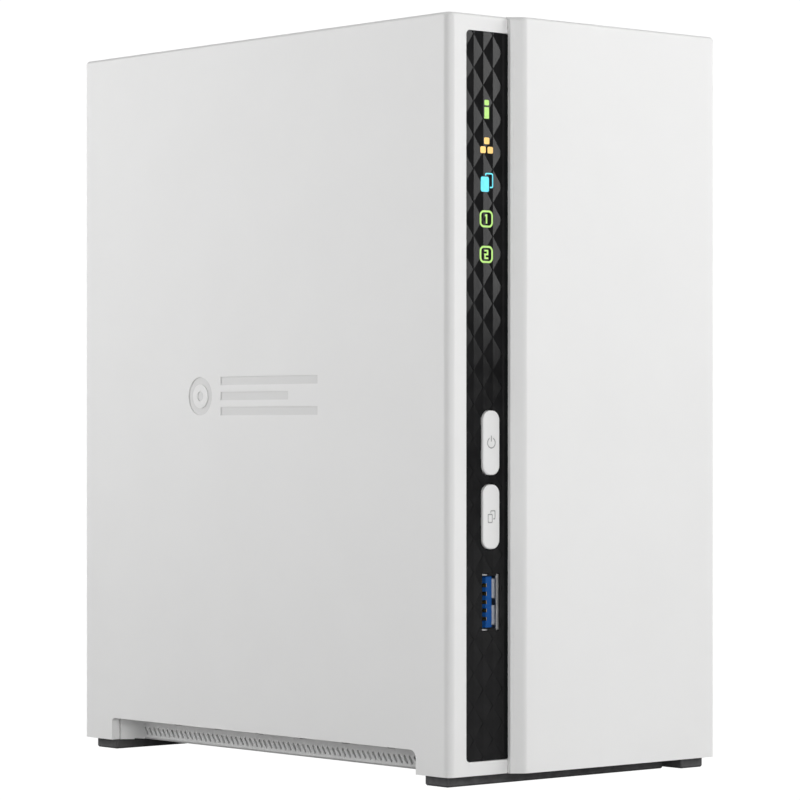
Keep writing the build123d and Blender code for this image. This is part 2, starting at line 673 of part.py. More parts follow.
def rear_panel():
    """Flat rear panel with the fan grille, the socket openings and the air slots."""
    panel = rounded_y((-PANEL_HALF_X, PANEL_HALF_X), (PANEL_INNER, PANEL_OUTER), PANEL_Z, 1.0)
    for cut in fan_grille_cuts():
        panel -= cut
    through = (PANEL_INNER - 1, PANEL_OUTER + 1)
    margin = 0.2
    openings = [(REAR_PORT_X["lan"], REAR_PORT_Z["lan"]), (REAR_PORT_X["dc"], REAR_PORT_Z["dc"])]
    openings += [(REAR_PORT_X["usb"], z) for z in REAR_PORT_Z["usb"]]
    for x, z in openings:
        panel -= block((x[0] - margin, x[1] + margin), through, (z[0] - margin, z[1] + margin))
    panel -= rod("y", (RESET_X, RESET_Z), through, 0.9)
    panel -= lock_slot(through)
    for x, z in [(-39.4, z) for z in left_rear_screw_heights()] + [(14.0, 9.5)]:
        panel -= rod("y", (x, z), through, SCREW_R + SLIP)
    for z in COVER_SCREW_Z:
        panel -= rod("y", (COVER_SCREW_X, z), through, SCREW_R + SLIP)
    for x, z in fan_screw_places():
        panel -= rod("y", (x, z), through, FAN_SCREW_R + SLIP)
    for index in range(10):
        x = -12 + index * 5.0
        panel -= rounded_y((x - 1.1, x + 1.1), through, (24, 44), 1.0)
        panel -= rounded_y((x - 1.1, x + 1.1), through, (50, 70), 1.0)
    return panel


def lock_slot(y):
    return rounded_y((LOCK_X - 1.6, LOCK_X + 1.6), y, (LOCK_Z - 3.6, LOCK_Z + 3.6), 0.8)


def lock_plate():
    """Steel plate that backs the security-lock slot."""
    y = (PANEL_INNER - 1.5, PANEL_INNER)
    return block((-38.0, -24.0), y, (LOCK_Z - 8, LOCK_Z + 8)) - lock_slot((y[0] - 1, y[1] + 1))


# ------------------------------------------------------------------ main board
def mainboard():
    board = block(BOARD_X, BOARD_Y, BOARD_Z)
    for y, z in board_screw_places():
        board -= rod("x", (y, z), (BOARD_X[0] - 1, BOARD_X[1] + 1), 1.25 + SLIP)
    return board


def board_screws():
    screws = []
    for y, z in board_screw_places():
        shank = rod("x", (y, z), (LEFT + WALL + 0.8, BOARD_FACE), 1.25)
        head = rod("x", (y, z), (BOARD_FACE, BOARD_FACE + 1.5), 2.5)
        screws.append(shank + head - block((BOARD_FACE + 0.8, 0), (y - 1.6, y + 1.6), (z - 0.3, z + 0.3)))
    return group(screws)


def board_chips():
    """Processor, two memory chips, flash chip and network chip."""
    places = [(0, 112, 16, 16, 1.4), (28, 120, 9, 13, 1.1), (28, 104, 9, 13, 1.1), (-24, 96, 12, 10, 1.1)]
    places += [(40, 81, 8, 8, 1.0), (-30, 60, 7, 7, 1.0), (46, 30, 6, 6, 1.0)]
    chips = []
    for y, z, wide, tall, thick in places:
        chip_y = (y - wide / 2, y + wide / 2)
        chips.append(block((BOARD_FACE, BOARD_FACE + thick), chip_y, (z - tall / 2, z + tall / 2)))
    return group(chips)


def soc_heatsink():
    """Finned heatsink on the processor."""
    base_x = (BOARD_FACE + 1.4, BOARD_FACE + 3.4)
    sink = block(base_x, (-14, 14), (98, 126))
    for index in range(8):
        y = -13.2 + index * (26.4 - 1.2) / 7
        sink += block((base_x[1] - 0.2, -23.0), (y, y + 1.2), (98, 126))
    return sink


def board_capacitors():
    places = [(50, 40), (50, 50), (40, 40), (-20, 44)]
    cans = []
    for y, z in places:
        can = rod("x", (y, z), (BOARD_FACE + 0.8, BOARD_FACE + 9), 3.1)
        foot = block((BOARD_FACE, BOARD_FACE + 1), (y - 3.2, y + 3.2), (z - 3.2, z + 3.2))
        cans.append(can + foot)
    return cans


def board_coils():
    places = [(28, 36), (28, 48), (-8, 70)]
    return [block((BOARD_FACE, BOARD_FACE + 3.4), (y - 3.5, y + 3.5), (z - 3.5, z + 3.5)) for y, z in places]


def clock_battery():
    return rod("x", (-30, 146), (BOARD_FACE + 0.7, BOARD_FACE + 3.9), 10.0)


def battery_holder():
    holder = block((BOARD_FACE, BOARD_FACE + 3.0), (-43, -17), (140, 152))
    return holder - rod("x", (-30, 146), (BOARD_FACE + 0.7, 0), 10.0 + SLIP)


def buzzer():
    can = rod("x", (-38, 36), (BOARD_FACE, BOARD_FACE + 7), 6.0)
    return can - rod("x", (-38, 36), (BOARD_FACE + 6, BOARD_FACE + 8), 1.0)


# ------------------------------------------------------------------ drives, trays and cage
def cage_floor():
    """Floor of the cage, open where the drives reach their sockets."""
    floor = block(CAGE_X, (CAGE_FRONT[1], CAGE_REAR[0]), CAGE_FLOOR)
    for left in DRIVE_LEFT:
        floor -= block((left + 2.7, left + 9.1), (-47.2, -3.0), (CAGE_FLOOR[0] - 1, CAGE_FLOOR[1] + 1))
    return floor


def cage_bracket(wall, foot):
    """Front or rear bracket: a wall with cooling windows, bent to a foot with screw holes."""
    bracket = block(CAGE_X, wall, (CAGE_FLOOR[0], CAGE_TOP))
    foot_x = (CAGE_X[0], 30.0)
    bracket += block(foot_x, wall, (FLOOR_TOP, CAGE_FLOOR[1]))
    bracket += block(foot_x, foot, (FLOOR_TOP, FLOOR_TOP + CAGE_SHEET))
    through = (wall[0] - 1, wall[1] + 1)
    for left in DRIVE_LEFT:
        for low in (26, 57, 88, 119):
            bracket -= block((left + 4.5, left + DRIVE_WIDE - 4.5), through, (low, low + 26))
    for x, y in cage_screw_places():
        bracket -= rod("z", (x, y), (FLOOR_TOP - 1, FLOOR_TOP + 2), SCREW_R + SLIP)
    return bracket


def cage_guides():
    """Upright strips, welded to both walls, that each tray slides between."""
    strips = []
    for left in DRIVE_LEFT:
        for x in ((left - 0.4, left + 0.6), (left + 25.5, left + 26.5)):
            for y in ((CAGE_FRONT[1], CAGE_FRONT[1] + 1.9), (CAGE_REAR[0] - 1.9, CAGE_REAR[0])):
                strips.append(block(x, y, (CAGE_FLOOR[1], CAGE_TOP)))
    return strips


def drive_cage():
    """Sheet-metal cage: floor, two brackets and eight guide strips, spot-welded together."""
    front = cage_bracket(CAGE_FRONT, (-67.0, CAGE_FRONT[1]))
    rear = cage_bracket(CAGE_REAR, (CAGE_REAR[0], 57.0))
    return group([cage_floor(), front, rear, *cage_guides()])


def cage_screws():
    return group([screw_z(x, y, FLOOR_TOP + CAGE_SHEET, BOTTOM + 1.1) for x, y in cage_screw_places()])


def drive_backplane():
    """Small board under the cage; its left edge plugs into the main board's edge connector."""
    return block((-31.0, 27.0), (-53.0, 3.0), BACKPLANE_Z)


def backplane_connector():
    socket = block((BOARD_FACE, -27.5), (-46, -6), (8.4, 20.5))
    return socket - block((-31.3, 0), (-60, 10), (BACKPLANE_Z[0] - 0.1, BACKPLANE_Z[1] + 0.1))


def sata_sockets():
    sockets = []
    for left in DRIVE_LEFT:
        body = block((left + 3.4, left + 8.4), (-46.5, -4.0), (BACKPLANE_Z[1], SOCKET_TOP))
        slot = block((left + TONGUE_X[0] - 0.3, left + TONGUE_X[1] + 0.3), (-45.4, -5.1), (17.5, 30))
        sockets.append(body - slot)
    return sockets


def drive_screw_places(left):
    return [(left + 6.35, DRIVE_Z[0] + height) for height in (28.5, 130.1)]


def drive_case(left):
    """Cast drive body, open on its right side, with a recess for the connector."""
    casting = block((left + 2.6, left + 25.1), DRIVE_Y, DRIVE_Z)
    for rail_y in ((DRIVE_Y[0], DRIVE_Y[0] + 4.6), (DRIVE_Y[1] - 4.6, DRIVE_Y[1])):
        casting += block((left, left + 3), rail_y, DRIVE_Z)
    cavity_y = (DRIVE_Y[0] + 3.5, DRIVE_Y[1] - 3.5)
    casting -= block((left + 10.0, left + 26), cavity_y, (DRIVE_Z[0] + 20, DRIVE_Z[1] - 3.5))
    casting -= block((left - 1, left + 9.3), (-47.4, -3.0), (DRIVE_Z[0] - 1, 24))
    for x, z in drive_screw_places(left):
        casting -= rod("y", (x, z), (DRIVE_Y[0] - 1, DRIVE_Y[0] + 3.4), SCREW_R + SLIP)
        casting -= rod("y", (x, z), (DRIVE_Y[1] - 3.4, DRIVE_Y[1] + 1), SCREW_R + SLIP)
    return casting


def drive_lid(left):
    """Pressed lid with a raised middle."""
    inset = 1.2
    y = (DRIVE_Y[0] + inset, DRIVE_Y[1] - inset)
    z = (DRIVE_Z[0] + inset, DRIVE_Z[1] - inset)
    lid = block((left + 25.1, left + 25.7), y, z)
    raised = block((left + 25.6, left + 26.1), (y[0] + 4, y[1] - 4), (z[0] + 14, z[1] - 4))
    return lid + raised - rod("x", (-5, 108), (left + 25.8, left + 27), 10)


def drive_board(left):
    """Circuit board on the left side of the drive, with its largest chips."""
    board = block((left + 1.4, left + 2.6), (DRIVE_Y[0] + 5, DRIVE_Y[1] - 5), (25, 118))
    board += block((left + 0.3, left + 1.5), (-20, -6), (60, 74))
    return board + block((left + 0.4, left + 1.5), (12, 24), (44, 54))


def drive_plug(left):
    """Connector block with the tongue that enters the socket."""
    plug = block((left + 2.8, left + 9.1), (-47.2, -3.2), (22.1, 24))
    return plug + block((left + TONGUE_X[0], left + TONGUE_X[1]), (-45.0, -5.5), (18.0, 22.3))


def drive_tray(left):
    """Carrier with a rail at the front and back, a top bridge and a pull grip."""
    x = (left + 1.0, left + 25.1)
    front = (DRIVE_Y[0] - RAIL, DRIVE_Y[0])
    rear = (DRIVE_Y[1], DRIVE_Y[1] + RAIL)
    top = (DRIVE_Z[1] + 1.0, DRIVE_Z[1] + 3.0)
    tray = block(x, front, (16.2, top[1])) + block(x, rear, (16.2, top[1]))
    tray += block(x, (front[0], rear[1]), top)
    for y in (-46.0, -30.0, 20.0, 36.0):
        tray -= block((x[0] + 4, x[1] - 4), (y - 5, y + 5), (top[0] - 1, top[1] + 1))
    grip = block((left + 6.0, left + 20.0), (-24.0, 14.0), (top[1] - 0.2, 180.0))
    tray += grip - block((left, left + 26), (-21.5, 11.5), (top[1], 177.5))
    for x_screw, z in drive_screw_places(left):
        for rail, face in ((front, front[0]), (rear, rear[1])):
            tray -= rod("y", (x_screw, z), (rail[0] - 1, rail[1] + 1), SCREW_R + SLIP)
            tray -= rod("y", (x_screw, z), (face - 1.05, face + 1.05), 2.8)
    return tray


def drive_screws(left):
    """Flat-head screws through both rails into the drive."""
    screws = []
    for x, z in drive_screw_places(left):
        for face, inward in ((DRIVE_Y[0] - RAIL, 1), (DRIVE_Y[1] + RAIL, -1)):
            seat = face + inward * 1.05
            shank = rod("y", (x, z), sorted((seat, seat + inward * 3.9)), SCREW_R)
            head = rod("y", (x, z), sorted((face + inward * 0.1, seat)), 2.7)
            screws.append(shank + head)
    return group(screws)


# ------------------------------------------------------------------ fan
def fan_frame():
    """Square frame with a round duct and a motor mount on four struts at the back."""
    half = FAN_SIZE / 2
    frame = rounded_y((FAN_X - half, FAN_X + half), FAN_Y, (FAN_Z - half, FAN_Z + half), 3.0)
    frame -= rod("y", (FAN_X, FAN_Z), (FAN_Y[0] - 1, FAN_Y[1] + 1), FAN_BORE)
    for turn in (0, 90):
        strut = Pos(FAN_X, FAN_Y[1] - 1.75, FAN_Z) * Rot(0, turn, 0) * Box(2 * FAN_BORE + 2, 2.5, 2.6)
        frame += strut
    frame += rod("y", (FAN_X, FAN_Z), (FAN_Y[1] - 3.0, FAN_Y[1] - 0.5), 15.0)
    frame += rod("y", (FAN_X, FAN_Z), (FAN_Y[1] - 16.0, FAN_Y[1] - 2.8), 4.0)
    frame -= rod("y", (FAN_X, FAN_Z), (FAN_Y[1] - 17.0, FAN_Y[1] - 4.0), 2.6)
    for x, z in fan_screw_places():
        frame -= rod("y", (x, z), (FAN_Y[0] - 1, FAN_Y[1] + 1), FAN_SCREW_R + SLIP)
    return frame


def fan_bearing():
    sleeve = rod("y", (FAN_X, FAN_Z), (FAN_Y[1] - 16.0, FAN_Y[1] - 4.0), 2.6)
    return sleeve - rod("y", (FAN_X, FAN_Z), (FAN_Y[1] - 17.0, FAN_Y[1] - 3.0), 1.5 + SLIP)


def fan_stator():
    """Four wound poles round the bearing post."""
    y = (FAN_Y[1] - 14.0, FAN_Y[1] - 5.0)
    stator = rod("y", (FAN_X, FAN_Z), y, 6.5)
    for turn in (45, 135):
        stator += Pos(FAN_X, (y[0] + y[1]) / 2, FAN_Z) * Rot(0, turn, 0) * Box(23.0, 5.0, 6.0)
    return stator - rod("y", (FAN_X, FAN_Z), (y[0] - 1, y[1] + 1), 4.0)


def fan_rotor():
    """Hub cup with seven slanted blades."""
    cup_y = (FAN_Y[0] + 2.0, FAN_Y[1] - 4.4)
    hub_radius = 15.0
    hub = rod("y", (FAN_X, FAN_Z), cup_y, hub_radius)
    hub = fillet(hub.edges().filter_by(GeomType.CIRCLE).sort_by(Axis.Y)[0], 1.5)
    hub -= rod("y", (FAN_X, FAN_Z), (cup_y[0] + 2.2, FAN_Y[1]), hub_radius - 1.5)
    hub -= rod("y", (FAN_X, FAN_Z), (cup_y[0] - 1, FAN_Y[1]), 1.5)
    blades = 7
    reach = rod("y", (FAN_X, FAN_Z), (cup_y[0] + 0.6, cup_y[1] - 0.6), 26.8)
    reach -= rod("y", (FAN_X, FAN_Z), (cup_y[0] - 1, cup_y[1] + 1), hub_radius - 0.6)
    slab_y = (cup_y[0] + cup_y[1]) / 2
    for index in range(blades):
        turn = Rot(0, index * 360 / blades, 0)
        slab = turn * Pos(20.0, 0, 0) * Rot(42, 0, 0) * Box(16.0, 22.0, 1.3)
        hub += (Pos(FAN_X, slab_y, FAN_Z) * slab) & reach
    return hub


def fan_shaft():
    return rod("y", (FAN_X, FAN_Z), (FAN_Y[0] + 2.0, FAN_Y[1] - 4.6), 1.5)


def fan_header():
    """Connector on the main board that the fan's lead plugs into."""
    return block((BOARD_FACE, -28.0), (LEAD_END_Y - 7, LEAD_END_Y), (LEAD_Z - 3, LEAD_Z + 3))


def fan_lead():
    """Sleeved lead from the fan frame to its header: two runs joined by one arc."""
    start = (FAN_X - FAN_SIZE / 2, LEAD_START_Y, LEAD_Z)
    corner = (LEAD_X, LEAD_START_Y, LEAD_Z)
    route = FilletPolyline(start, corner, (LEAD_X, LEAD_END_Y, LEAD_Z), radius=LEAD_BEND)
    return sweep(Plane(origin=start, z_dir=(-1, 0, 0)) * Circle(LEAD_RADIUS), path=route)


def fan_screws():
    tip = FAN_Y[1] - 8
    return group([screw_y(x, z, PANEL_OUTER, tip, radius=FAN_SCREW_R) for x, z in fan_screw_places()])


# ------------------------------------------------------------------ screws and feet
def cover_screws():
    return group([screw_y(COVER_SCREW_X, z, PANEL_OUTER, 64.5, head_radius=3.2) for z in COVER_SCREW_Z])


def rear_panel_screws():
    screws = [screw_y(-39.4, z, PANEL_OUTER, 67.0, head_radius=2.6) for z in left_rear_screw_heights()]
    return group(screws + [screw_y(14.0, 9.5, PANEL_OUTER, 70.0, head_radius=2.6)])


def foot(x, y):
    """Rubber foot with softened lower edges."""
    pad = block(x, y, (0, BOTTOM))
    pad = fillet(pad.edges().filter_by(Axis.Z), 0.6)
    return chamfer(pad.faces().sort_by(Axis.Z)[0].edges(), 0.4)


# ------------------------------------------------------------------ write every piece
def main():
    save("left_shell", left_shell())
    save("side_cover", side_cover())
    save("base_tray", base_tray())
    save("rear_panel", rear_panel())
    save("lock_plate", lock_plate())

    save("status_panel", status_panel())
    for name, plans in icon_plans().items():
        save(name, group([to_front(plan) for plan in plans]))
    save("light_guide", light_guide())
    save("status_leds", status_leds())
    save("power_button", button(POWER_Z, power_symbol()))
    save("copy_button", button(COPY_Z, copy_symbol()))
    save("key_switches", group([tact_switch(POWER_Z), tact_switch(COPY_Z)]))
    save("power_plunger", plunger(POWER_Z))
    save("copy_plunger", plunger(COPY_Z))

    save("front_usb_shell", usb_shell(USB_X, FRONT_USB_Y, USB_Z, True))
    save("front_usb_tongue", usb_tongue(USB_X, FRONT_USB_Y, USB_Z, True))
    contacts = usb_contacts(USB_X, FRONT_USB_Y, USB_Z, True)
    rear_x = REAR_PORT_X["usb"]
    rear = [(rear_x, REAR_USB_Y, z, False) for z in REAR_PORT_Z["usb"]]
    save("rear_usb_shells", group([usb_shell(*place) for place in rear]))
    save("rear_usb_tongues", group([usb_tongue(*place) for place in rear]))
    for place in rear:
        contacts += usb_contacts(*place)
    save("usb_contacts", group(contacts))
    save("ethernet_port", ethernet_port())
    save("dc_power_jack", dc_power_jack())
    save("dc_jack_pin", dc_jack_pin())
    save("reset_switch", reset_switch())
    save("reset_button", reset_button())

    save("mainboard", mainboard())
    save("board_chips", board_chips())
    save("soc_heatsink", soc_heatsink())
    save("board_power_parts", group(board_capacitors() + board_coils()))
    save("clock_battery", clock_battery())
    save("battery_holder", battery_holder())
    save("buzzer", buzzer())

    save("drive_cage", drive_cage())
    save("drive_backplane", drive_backplane())
    save("board_connectors", group([backplane_connector(), fan_header(), *sata_sockets()]))
    for number, left in enumerate(DRIVE_LEFT, start=1):
        save(f"drive_tray_{number}", drive_tray(left))
        save(f"drive_{number}_case", drive_case(left))
        save(f"drive_{number}_lid", drive_lid(left))
        save(f"drive_{number}_board", group([drive_board(left), drive_plug(left)]))
        save(f"drive_screws_{number}", drive_screws(left))

    save("fan_frame", fan_frame())
    save("fan_bearing", fan_bearing())
    save("fan_stator", fan_stator())
    save("fan_rotor", fan_rotor())
    save("fan_shaft", fan_shaft())
    save("fan_lead", fan_lead())

    save("fan_screws", fan_screws())
    save("cover_screws", cover_screws())
    save("rear_panel_screws", rear_panel_screws())
    save("case_screws", group([board_screws(), cage_screws()]))

    save("foot_bars", group([foot(FOOT_BAR_X, y) for y in FOOT_BAR_Y]))
    save("cover_feet", group([foot(COVER_FOOT_X, y) for y in COVER_FOOT_Y]))


main()
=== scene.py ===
"""Looks of the two-bay desktop network storage unit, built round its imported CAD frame.

Everything is in metres, in the CAD's own frame: X right, Y to the back, Z up, origin under the feet.
"""
import json
import math
import random

import bmesh
import bpy
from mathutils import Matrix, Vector


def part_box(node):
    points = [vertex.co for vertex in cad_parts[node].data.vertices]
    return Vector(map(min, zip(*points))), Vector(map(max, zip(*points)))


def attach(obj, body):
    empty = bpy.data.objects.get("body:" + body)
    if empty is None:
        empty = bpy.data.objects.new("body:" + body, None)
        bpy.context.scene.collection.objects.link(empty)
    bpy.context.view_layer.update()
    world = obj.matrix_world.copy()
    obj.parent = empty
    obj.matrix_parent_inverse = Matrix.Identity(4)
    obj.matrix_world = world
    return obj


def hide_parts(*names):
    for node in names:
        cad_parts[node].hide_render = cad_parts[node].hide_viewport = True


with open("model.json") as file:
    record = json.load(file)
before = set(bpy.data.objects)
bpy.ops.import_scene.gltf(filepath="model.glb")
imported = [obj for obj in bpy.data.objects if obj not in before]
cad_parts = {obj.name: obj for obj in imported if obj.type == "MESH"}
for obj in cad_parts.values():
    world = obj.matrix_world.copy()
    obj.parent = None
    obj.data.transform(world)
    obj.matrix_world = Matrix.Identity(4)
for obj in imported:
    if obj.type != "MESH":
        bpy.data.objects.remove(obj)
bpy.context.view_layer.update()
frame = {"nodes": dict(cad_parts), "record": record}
NODES = frame["nodes"]
MM = 0.001

# ------------------------------------------------------------------ camera, lights and surroundings
CAMERA_PLACE = Vector((-0.60212, -0.69939, 0.08764))
CAMERA_YAW = 40.90          # degrees, from +Y towards +X
CAMERA_LENS = 153.5
CAMERA_SENSOR = 36.0
CAMERA_SHIFT_Y = 0.04055
CAMERA_NEAREST = 0.01
LIGHT_AIM = Vector((0, 0, 0.1))
SOFTBOX_DISTANCE = 1.6
SOFTBOX_SIZE = 0.9
SOFTBOXES = [
    # azimuth from the front towards the right, elevation, power
    (60, 18, 17.3),
    (-150, 12, 17.3),
    (-30, 12, 12.9),
    (0, 12, 1.0),
    (150, 70, 6.5),
]
WORLD_LIGHT = 0.0
SEEN_WHITE = 1.05           # strength of the white that only the camera sees
FLOOR_REACH = 6.0
FLOOR_GREY = (0.45, 0.45, 0.45)

OVERCUT = 1.0 * MM          # how far a cutting tool reaches past what it cuts

# ------------------------------------------------------------------ relief of the front strip
RELIEF_PITCH_X = 3.21 * MM
RELIEF_PITCH_Z = 8.322 * MM
RELIEF_COLUMN_X = -36.38 * MM      # one column of folds
RELIEF_VERTEX_Z = 186.22 * MM      # one lattice corner on that column
RELIEF_DEPTH = 0.14 * MM
RELIEF_GROOVE = 0.035 * MM         # half the groove between two diamonds
RELIEF_ROOT = 0.25 * MM            # how far a ridge reaches into the slab


# ================================================================== shader helpers
NOISE_SPAN = (0.3, 0.7)     # the part of a noise value that a surface runs through


class Shader:
    """A new material with its node tree and a Principled shader, plus short ways to add nodes."""

    def __init__(self, name, color, roughness, metallic=0.0):
        self.material = bpy.data.materials.new(name)
        self.material.use_nodes = True
        self.tree = self.material.node_tree
        self.bsdf = self.tree.nodes["Principled BSDF"]
        self.bsdf.inputs["Base Color"].default_value = (*color, 1.0)
        self.bsdf.inputs["Roughness"].default_value = roughness
        self.bsdf.inputs["Metallic"].default_value = metallic
        self.place = self.node("ShaderNodeTexCoord").outputs["Object"]

    def node(self, kind, **inputs):
        made = self.tree.nodes.new(kind)
        for name, value in inputs.items():
            made.inputs[name].default_value = value
        return made

    def link(self, output, target):
        self.tree.links.new(output, target)

    def noise(self, size, detail=2.0, roughness=0.5, stretch=(1, 1, 1)):
        """Noise whose cells are about size metres across, stretched along the axes."""
        mapping = self.node("ShaderNodeMapping")
        mapping.inputs["Scale"].default_value = stretch
        self.link(self.place, mapping.inputs["Vector"])
        made = self.node("ShaderNodeTexNoise", Scale=1 / size, Detail=detail, Roughness=roughness)
        self.link(mapping.outputs["Vector"], made.inputs["Vector"])
        return made.outputs["Fac"]

    def tint(self, value, dark, light, span=NOISE_SPAN):
        """Base colour that runs between two colours with a 0-1 value."""
        made = self.node("ShaderNodeValToRGB")
        made.color_ramp.elements[0].position = span[0]
        made.color_ramp.elements[0].color = (*dark, 1.0)
        made.color_ramp.elements[1].position = span[1]
        made.color_ramp.elements[1].color = (*light, 1.0)
        self.link(value, made.inputs["Fac"])
        self.link(made.outputs["Color"], self.bsdf.inputs["Base Color"])

    def rough(self, value, low, high):
        """Roughness that runs from low to high with a 0-1 value."""
        made = self.node("ShaderNodeMapRange")
        made.inputs["From Min"].default_value = NOISE_SPAN[0]
        made.inputs["From Max"].default_value = NOISE_SPAN[1]
        made.inputs["To Min"].default_value = low
        made.inputs["To Max"].default_value = high
        self.link(value, made.inputs["Value"])
        self.link(made.outputs["Result"], self.bsdf.inputs["Roughness"])

    def bump(self, height, depth, strength=1.0):
        """Surface relief of that depth in metres."""
        made = self.node("ShaderNodeBump", Strength=strength, Distance=depth)
        self.link(height, made.inputs["Height"])
        self.link(made.outputs["Normal"], self.bsdf.inputs["Normal"])


def shade(color, factor):
    """The colour times a factor, no channel above 1."""
    return tuple(min(1.0, channel * factor) for channel in color)


# ================================================================== materials
def moulded_plastic(
        name, color, roughness=0.45, grain=0.28 * MM, depth=0.006 * MM, variation=0.008, shine=0.5):
    """Moulded plastic: a fine spark-eroded texture, faint colour drift and uneven sheen."""
    made = Shader(name, color, roughness)
    made.bsdf.inputs["Specular IOR Level"].default_value = shine
    drift = made.noise(22 * MM, detail=3)
    made.tint(drift, shade(color, 1 - variation), shade(color, 1 + variation))
    texture = made.noise(grain, detail=3, roughness=0.6)
    made.rough(texture, roughness - 0.05, roughness + 0.07)
    made.bump(texture, depth)
    return made.material


def gloss_black():
    """Glossy black strip: hard coat over faceted plastic with a trace of fine haze."""
    color = (0.0135, 0.0135, 0.014)
    made = Shader("strip_black", color, 0.12)
    haze = made.noise(5 * MM, detail=4)
    made.tint(haze, shade(color, 0.85), shade(color, 1.2))
    made.rough(haze, 0.10, 0.15)
    made.bsdf.inputs["IOR"].default_value = 1.26
    made.bump(made.noise(0.6 * MM), 0.0015 * MM)
    return made.material


def lit_lens(name, color, strength):
    """A lit icon: clear plastic over an LED, a little brighter in its middle."""
    made = Shader(name, shade(color, 0.5), 0.25)
    glow = made.noise(1.6 * MM, detail=1)
    made.tint(glow, shade(color, 0.35), shade(color, 0.55))
    made.bsdf.inputs["Emission Color"].default_value = (*color, 1.0)
    made.bsdf.inputs["Emission Strength"].default_value = strength
    return made.material


def sheet_metal(name, color, roughness=0.36):
    """Plated sheet metal with a faint rolling direction and small spangles."""
    made = Shader(name, color, roughness, metallic=1.0)
    rolled = made.noise(0.9 * MM, detail=4, stretch=(1, 1, 14))
    made.tint(rolled, shade(color, 0.9), shade(color, 1.06))
    made.rough(made.noise(7 * MM, detail=5), roughness - 0.08, roughness + 0.1)
    made.bump(rolled, 0.004 * MM)
    return made.material


def cast_metal(name, color):
    """Die-cast aluminium with a fine orange-peel skin."""
    roughness = 0.5
    made = Shader(name, color, roughness, metallic=1.0)
    skin = made.noise(0.8 * MM, detail=5, roughness=0.65)
    made.tint(made.noise(11 * MM, detail=3), shade(color, 0.88), shade(color, 1.05))
    made.rough(skin, roughness - 0.08, roughness + 0.12)
    made.bump(skin, 0.03 * MM)
    return made.material


def powder_coat(name, color):
    """Painted sheet metal with a fine orange-peel texture."""
    made = Shader(name, color, 0.42)
    peel = made.noise(0.45 * MM, detail=2)
    made.tint(made.noise(30 * MM), shade(color, 0.98), shade(color, 1.01))
    made.rough(peel, 0.36, 0.5)
    made.bump(peel, 0.012 * MM)
    return made.material


def rubber(name, color):
    """Dull rubber with a fine grain and a dusty bloom."""
    made = Shader(name, color, 0.78)
    bloom = made.noise(3 * MM, detail=5, roughness=0.6)
    made.tint(bloom, shade(color, 0.8), shade(color, 1.3))
    made.bump(made.noise(0.25 * MM, detail=3), 0.015 * MM)
    return made.material


def circuit_board(name, color):
    """Solder mask over straight copper runs, which show as lighter raised lines along Y and Z."""
    made = Shader(name, color, 0.28)
    split = made.node("ShaderNodeSeparateXYZ")
    made.link(made.place, split.inputs["Vector"])
    flat = made.node("ShaderNodeCombineXYZ")
    made.link(split.outputs["Y"], flat.inputs["X"])
    made.link(split.outputs["Z"], flat.inputs["Y"])
    brick = made.node("ShaderNodeTexBrick", Scale=1 / (9 * MM))
    brick.inputs["Mortar Size"].default_value = 0.035
    brick.inputs["Brick Width"].default_value = 0.83
    brick.inputs["Row Height"].default_value = 0.21
    brick.inputs["Color1"].default_value = (*shade(color, 0.72), 1)
    brick.inputs["Color2"].default_value = (*shade(color, 0.95), 1)
    brick.inputs["Mortar"].default_value = (*shade(color, 1.75), 1)
    made.link(flat.outputs["Vector"], brick.inputs["Vector"])
    made.link(brick.outputs["Color"], made.bsdf.inputs["Base Color"])
    made.rough(made.noise(4 * MM, detail=3), 0.22, 0.38)
    made.bump(brick.outputs["Fac"], 0.02 * MM, strength=0.6)
    return made.material


def wound_copper(name):
    """Enamelled wire, wound round: fine rings across the winding."""
    color = (0.55, 0.20, 0.07)
    made = Shader(name, color, 0.3, metallic=1.0)
    wave = made.node("ShaderNodeTexWave", Scale=1 / (1.2 * MM), Distortion=0.4)
    made.link(made.place, wave.inputs["Vector"])
    made.tint(wave.outputs["Fac"], shade(color, 0.5), shade(color, 1.2), span=(0.2, 0.8))
    made.bump(wave.outputs["Fac"], 0.08 * MM)
    return made.material


def machined(name, color, roughness=0.28):
    """Turned or plated small metal part, with fine concentric marks and slight tarnish."""
    made = Shader(name, color, roughness, metallic=1.0)
    mark = made.noise(0.35 * MM, detail=3)
    made.tint(made.noise(2.5 * MM, detail=4), shade(color, 0.82), shade(color, 1.05))
    made.rough(mark, roughness - 0.06, roughness + 0.12)
    made.bump(mark, 0.003 * MM)
    return made.material


def satin_metal(name, color):
    """Dull plated spring sheet: half metal, half bright haze."""
    made = Shader(name, color, 0.5, metallic=0.35)
    haze = made.noise(0.6 * MM, detail=3)
    made.tint(haze, shade(color, 0.92), shade(color, 1.05))
    made.rough(haze, 0.45, 0.56)
    return made.material


WHITE = (0.86, 0.86, 0.855)
BLACK = (0.02, 0.02, 0.021)


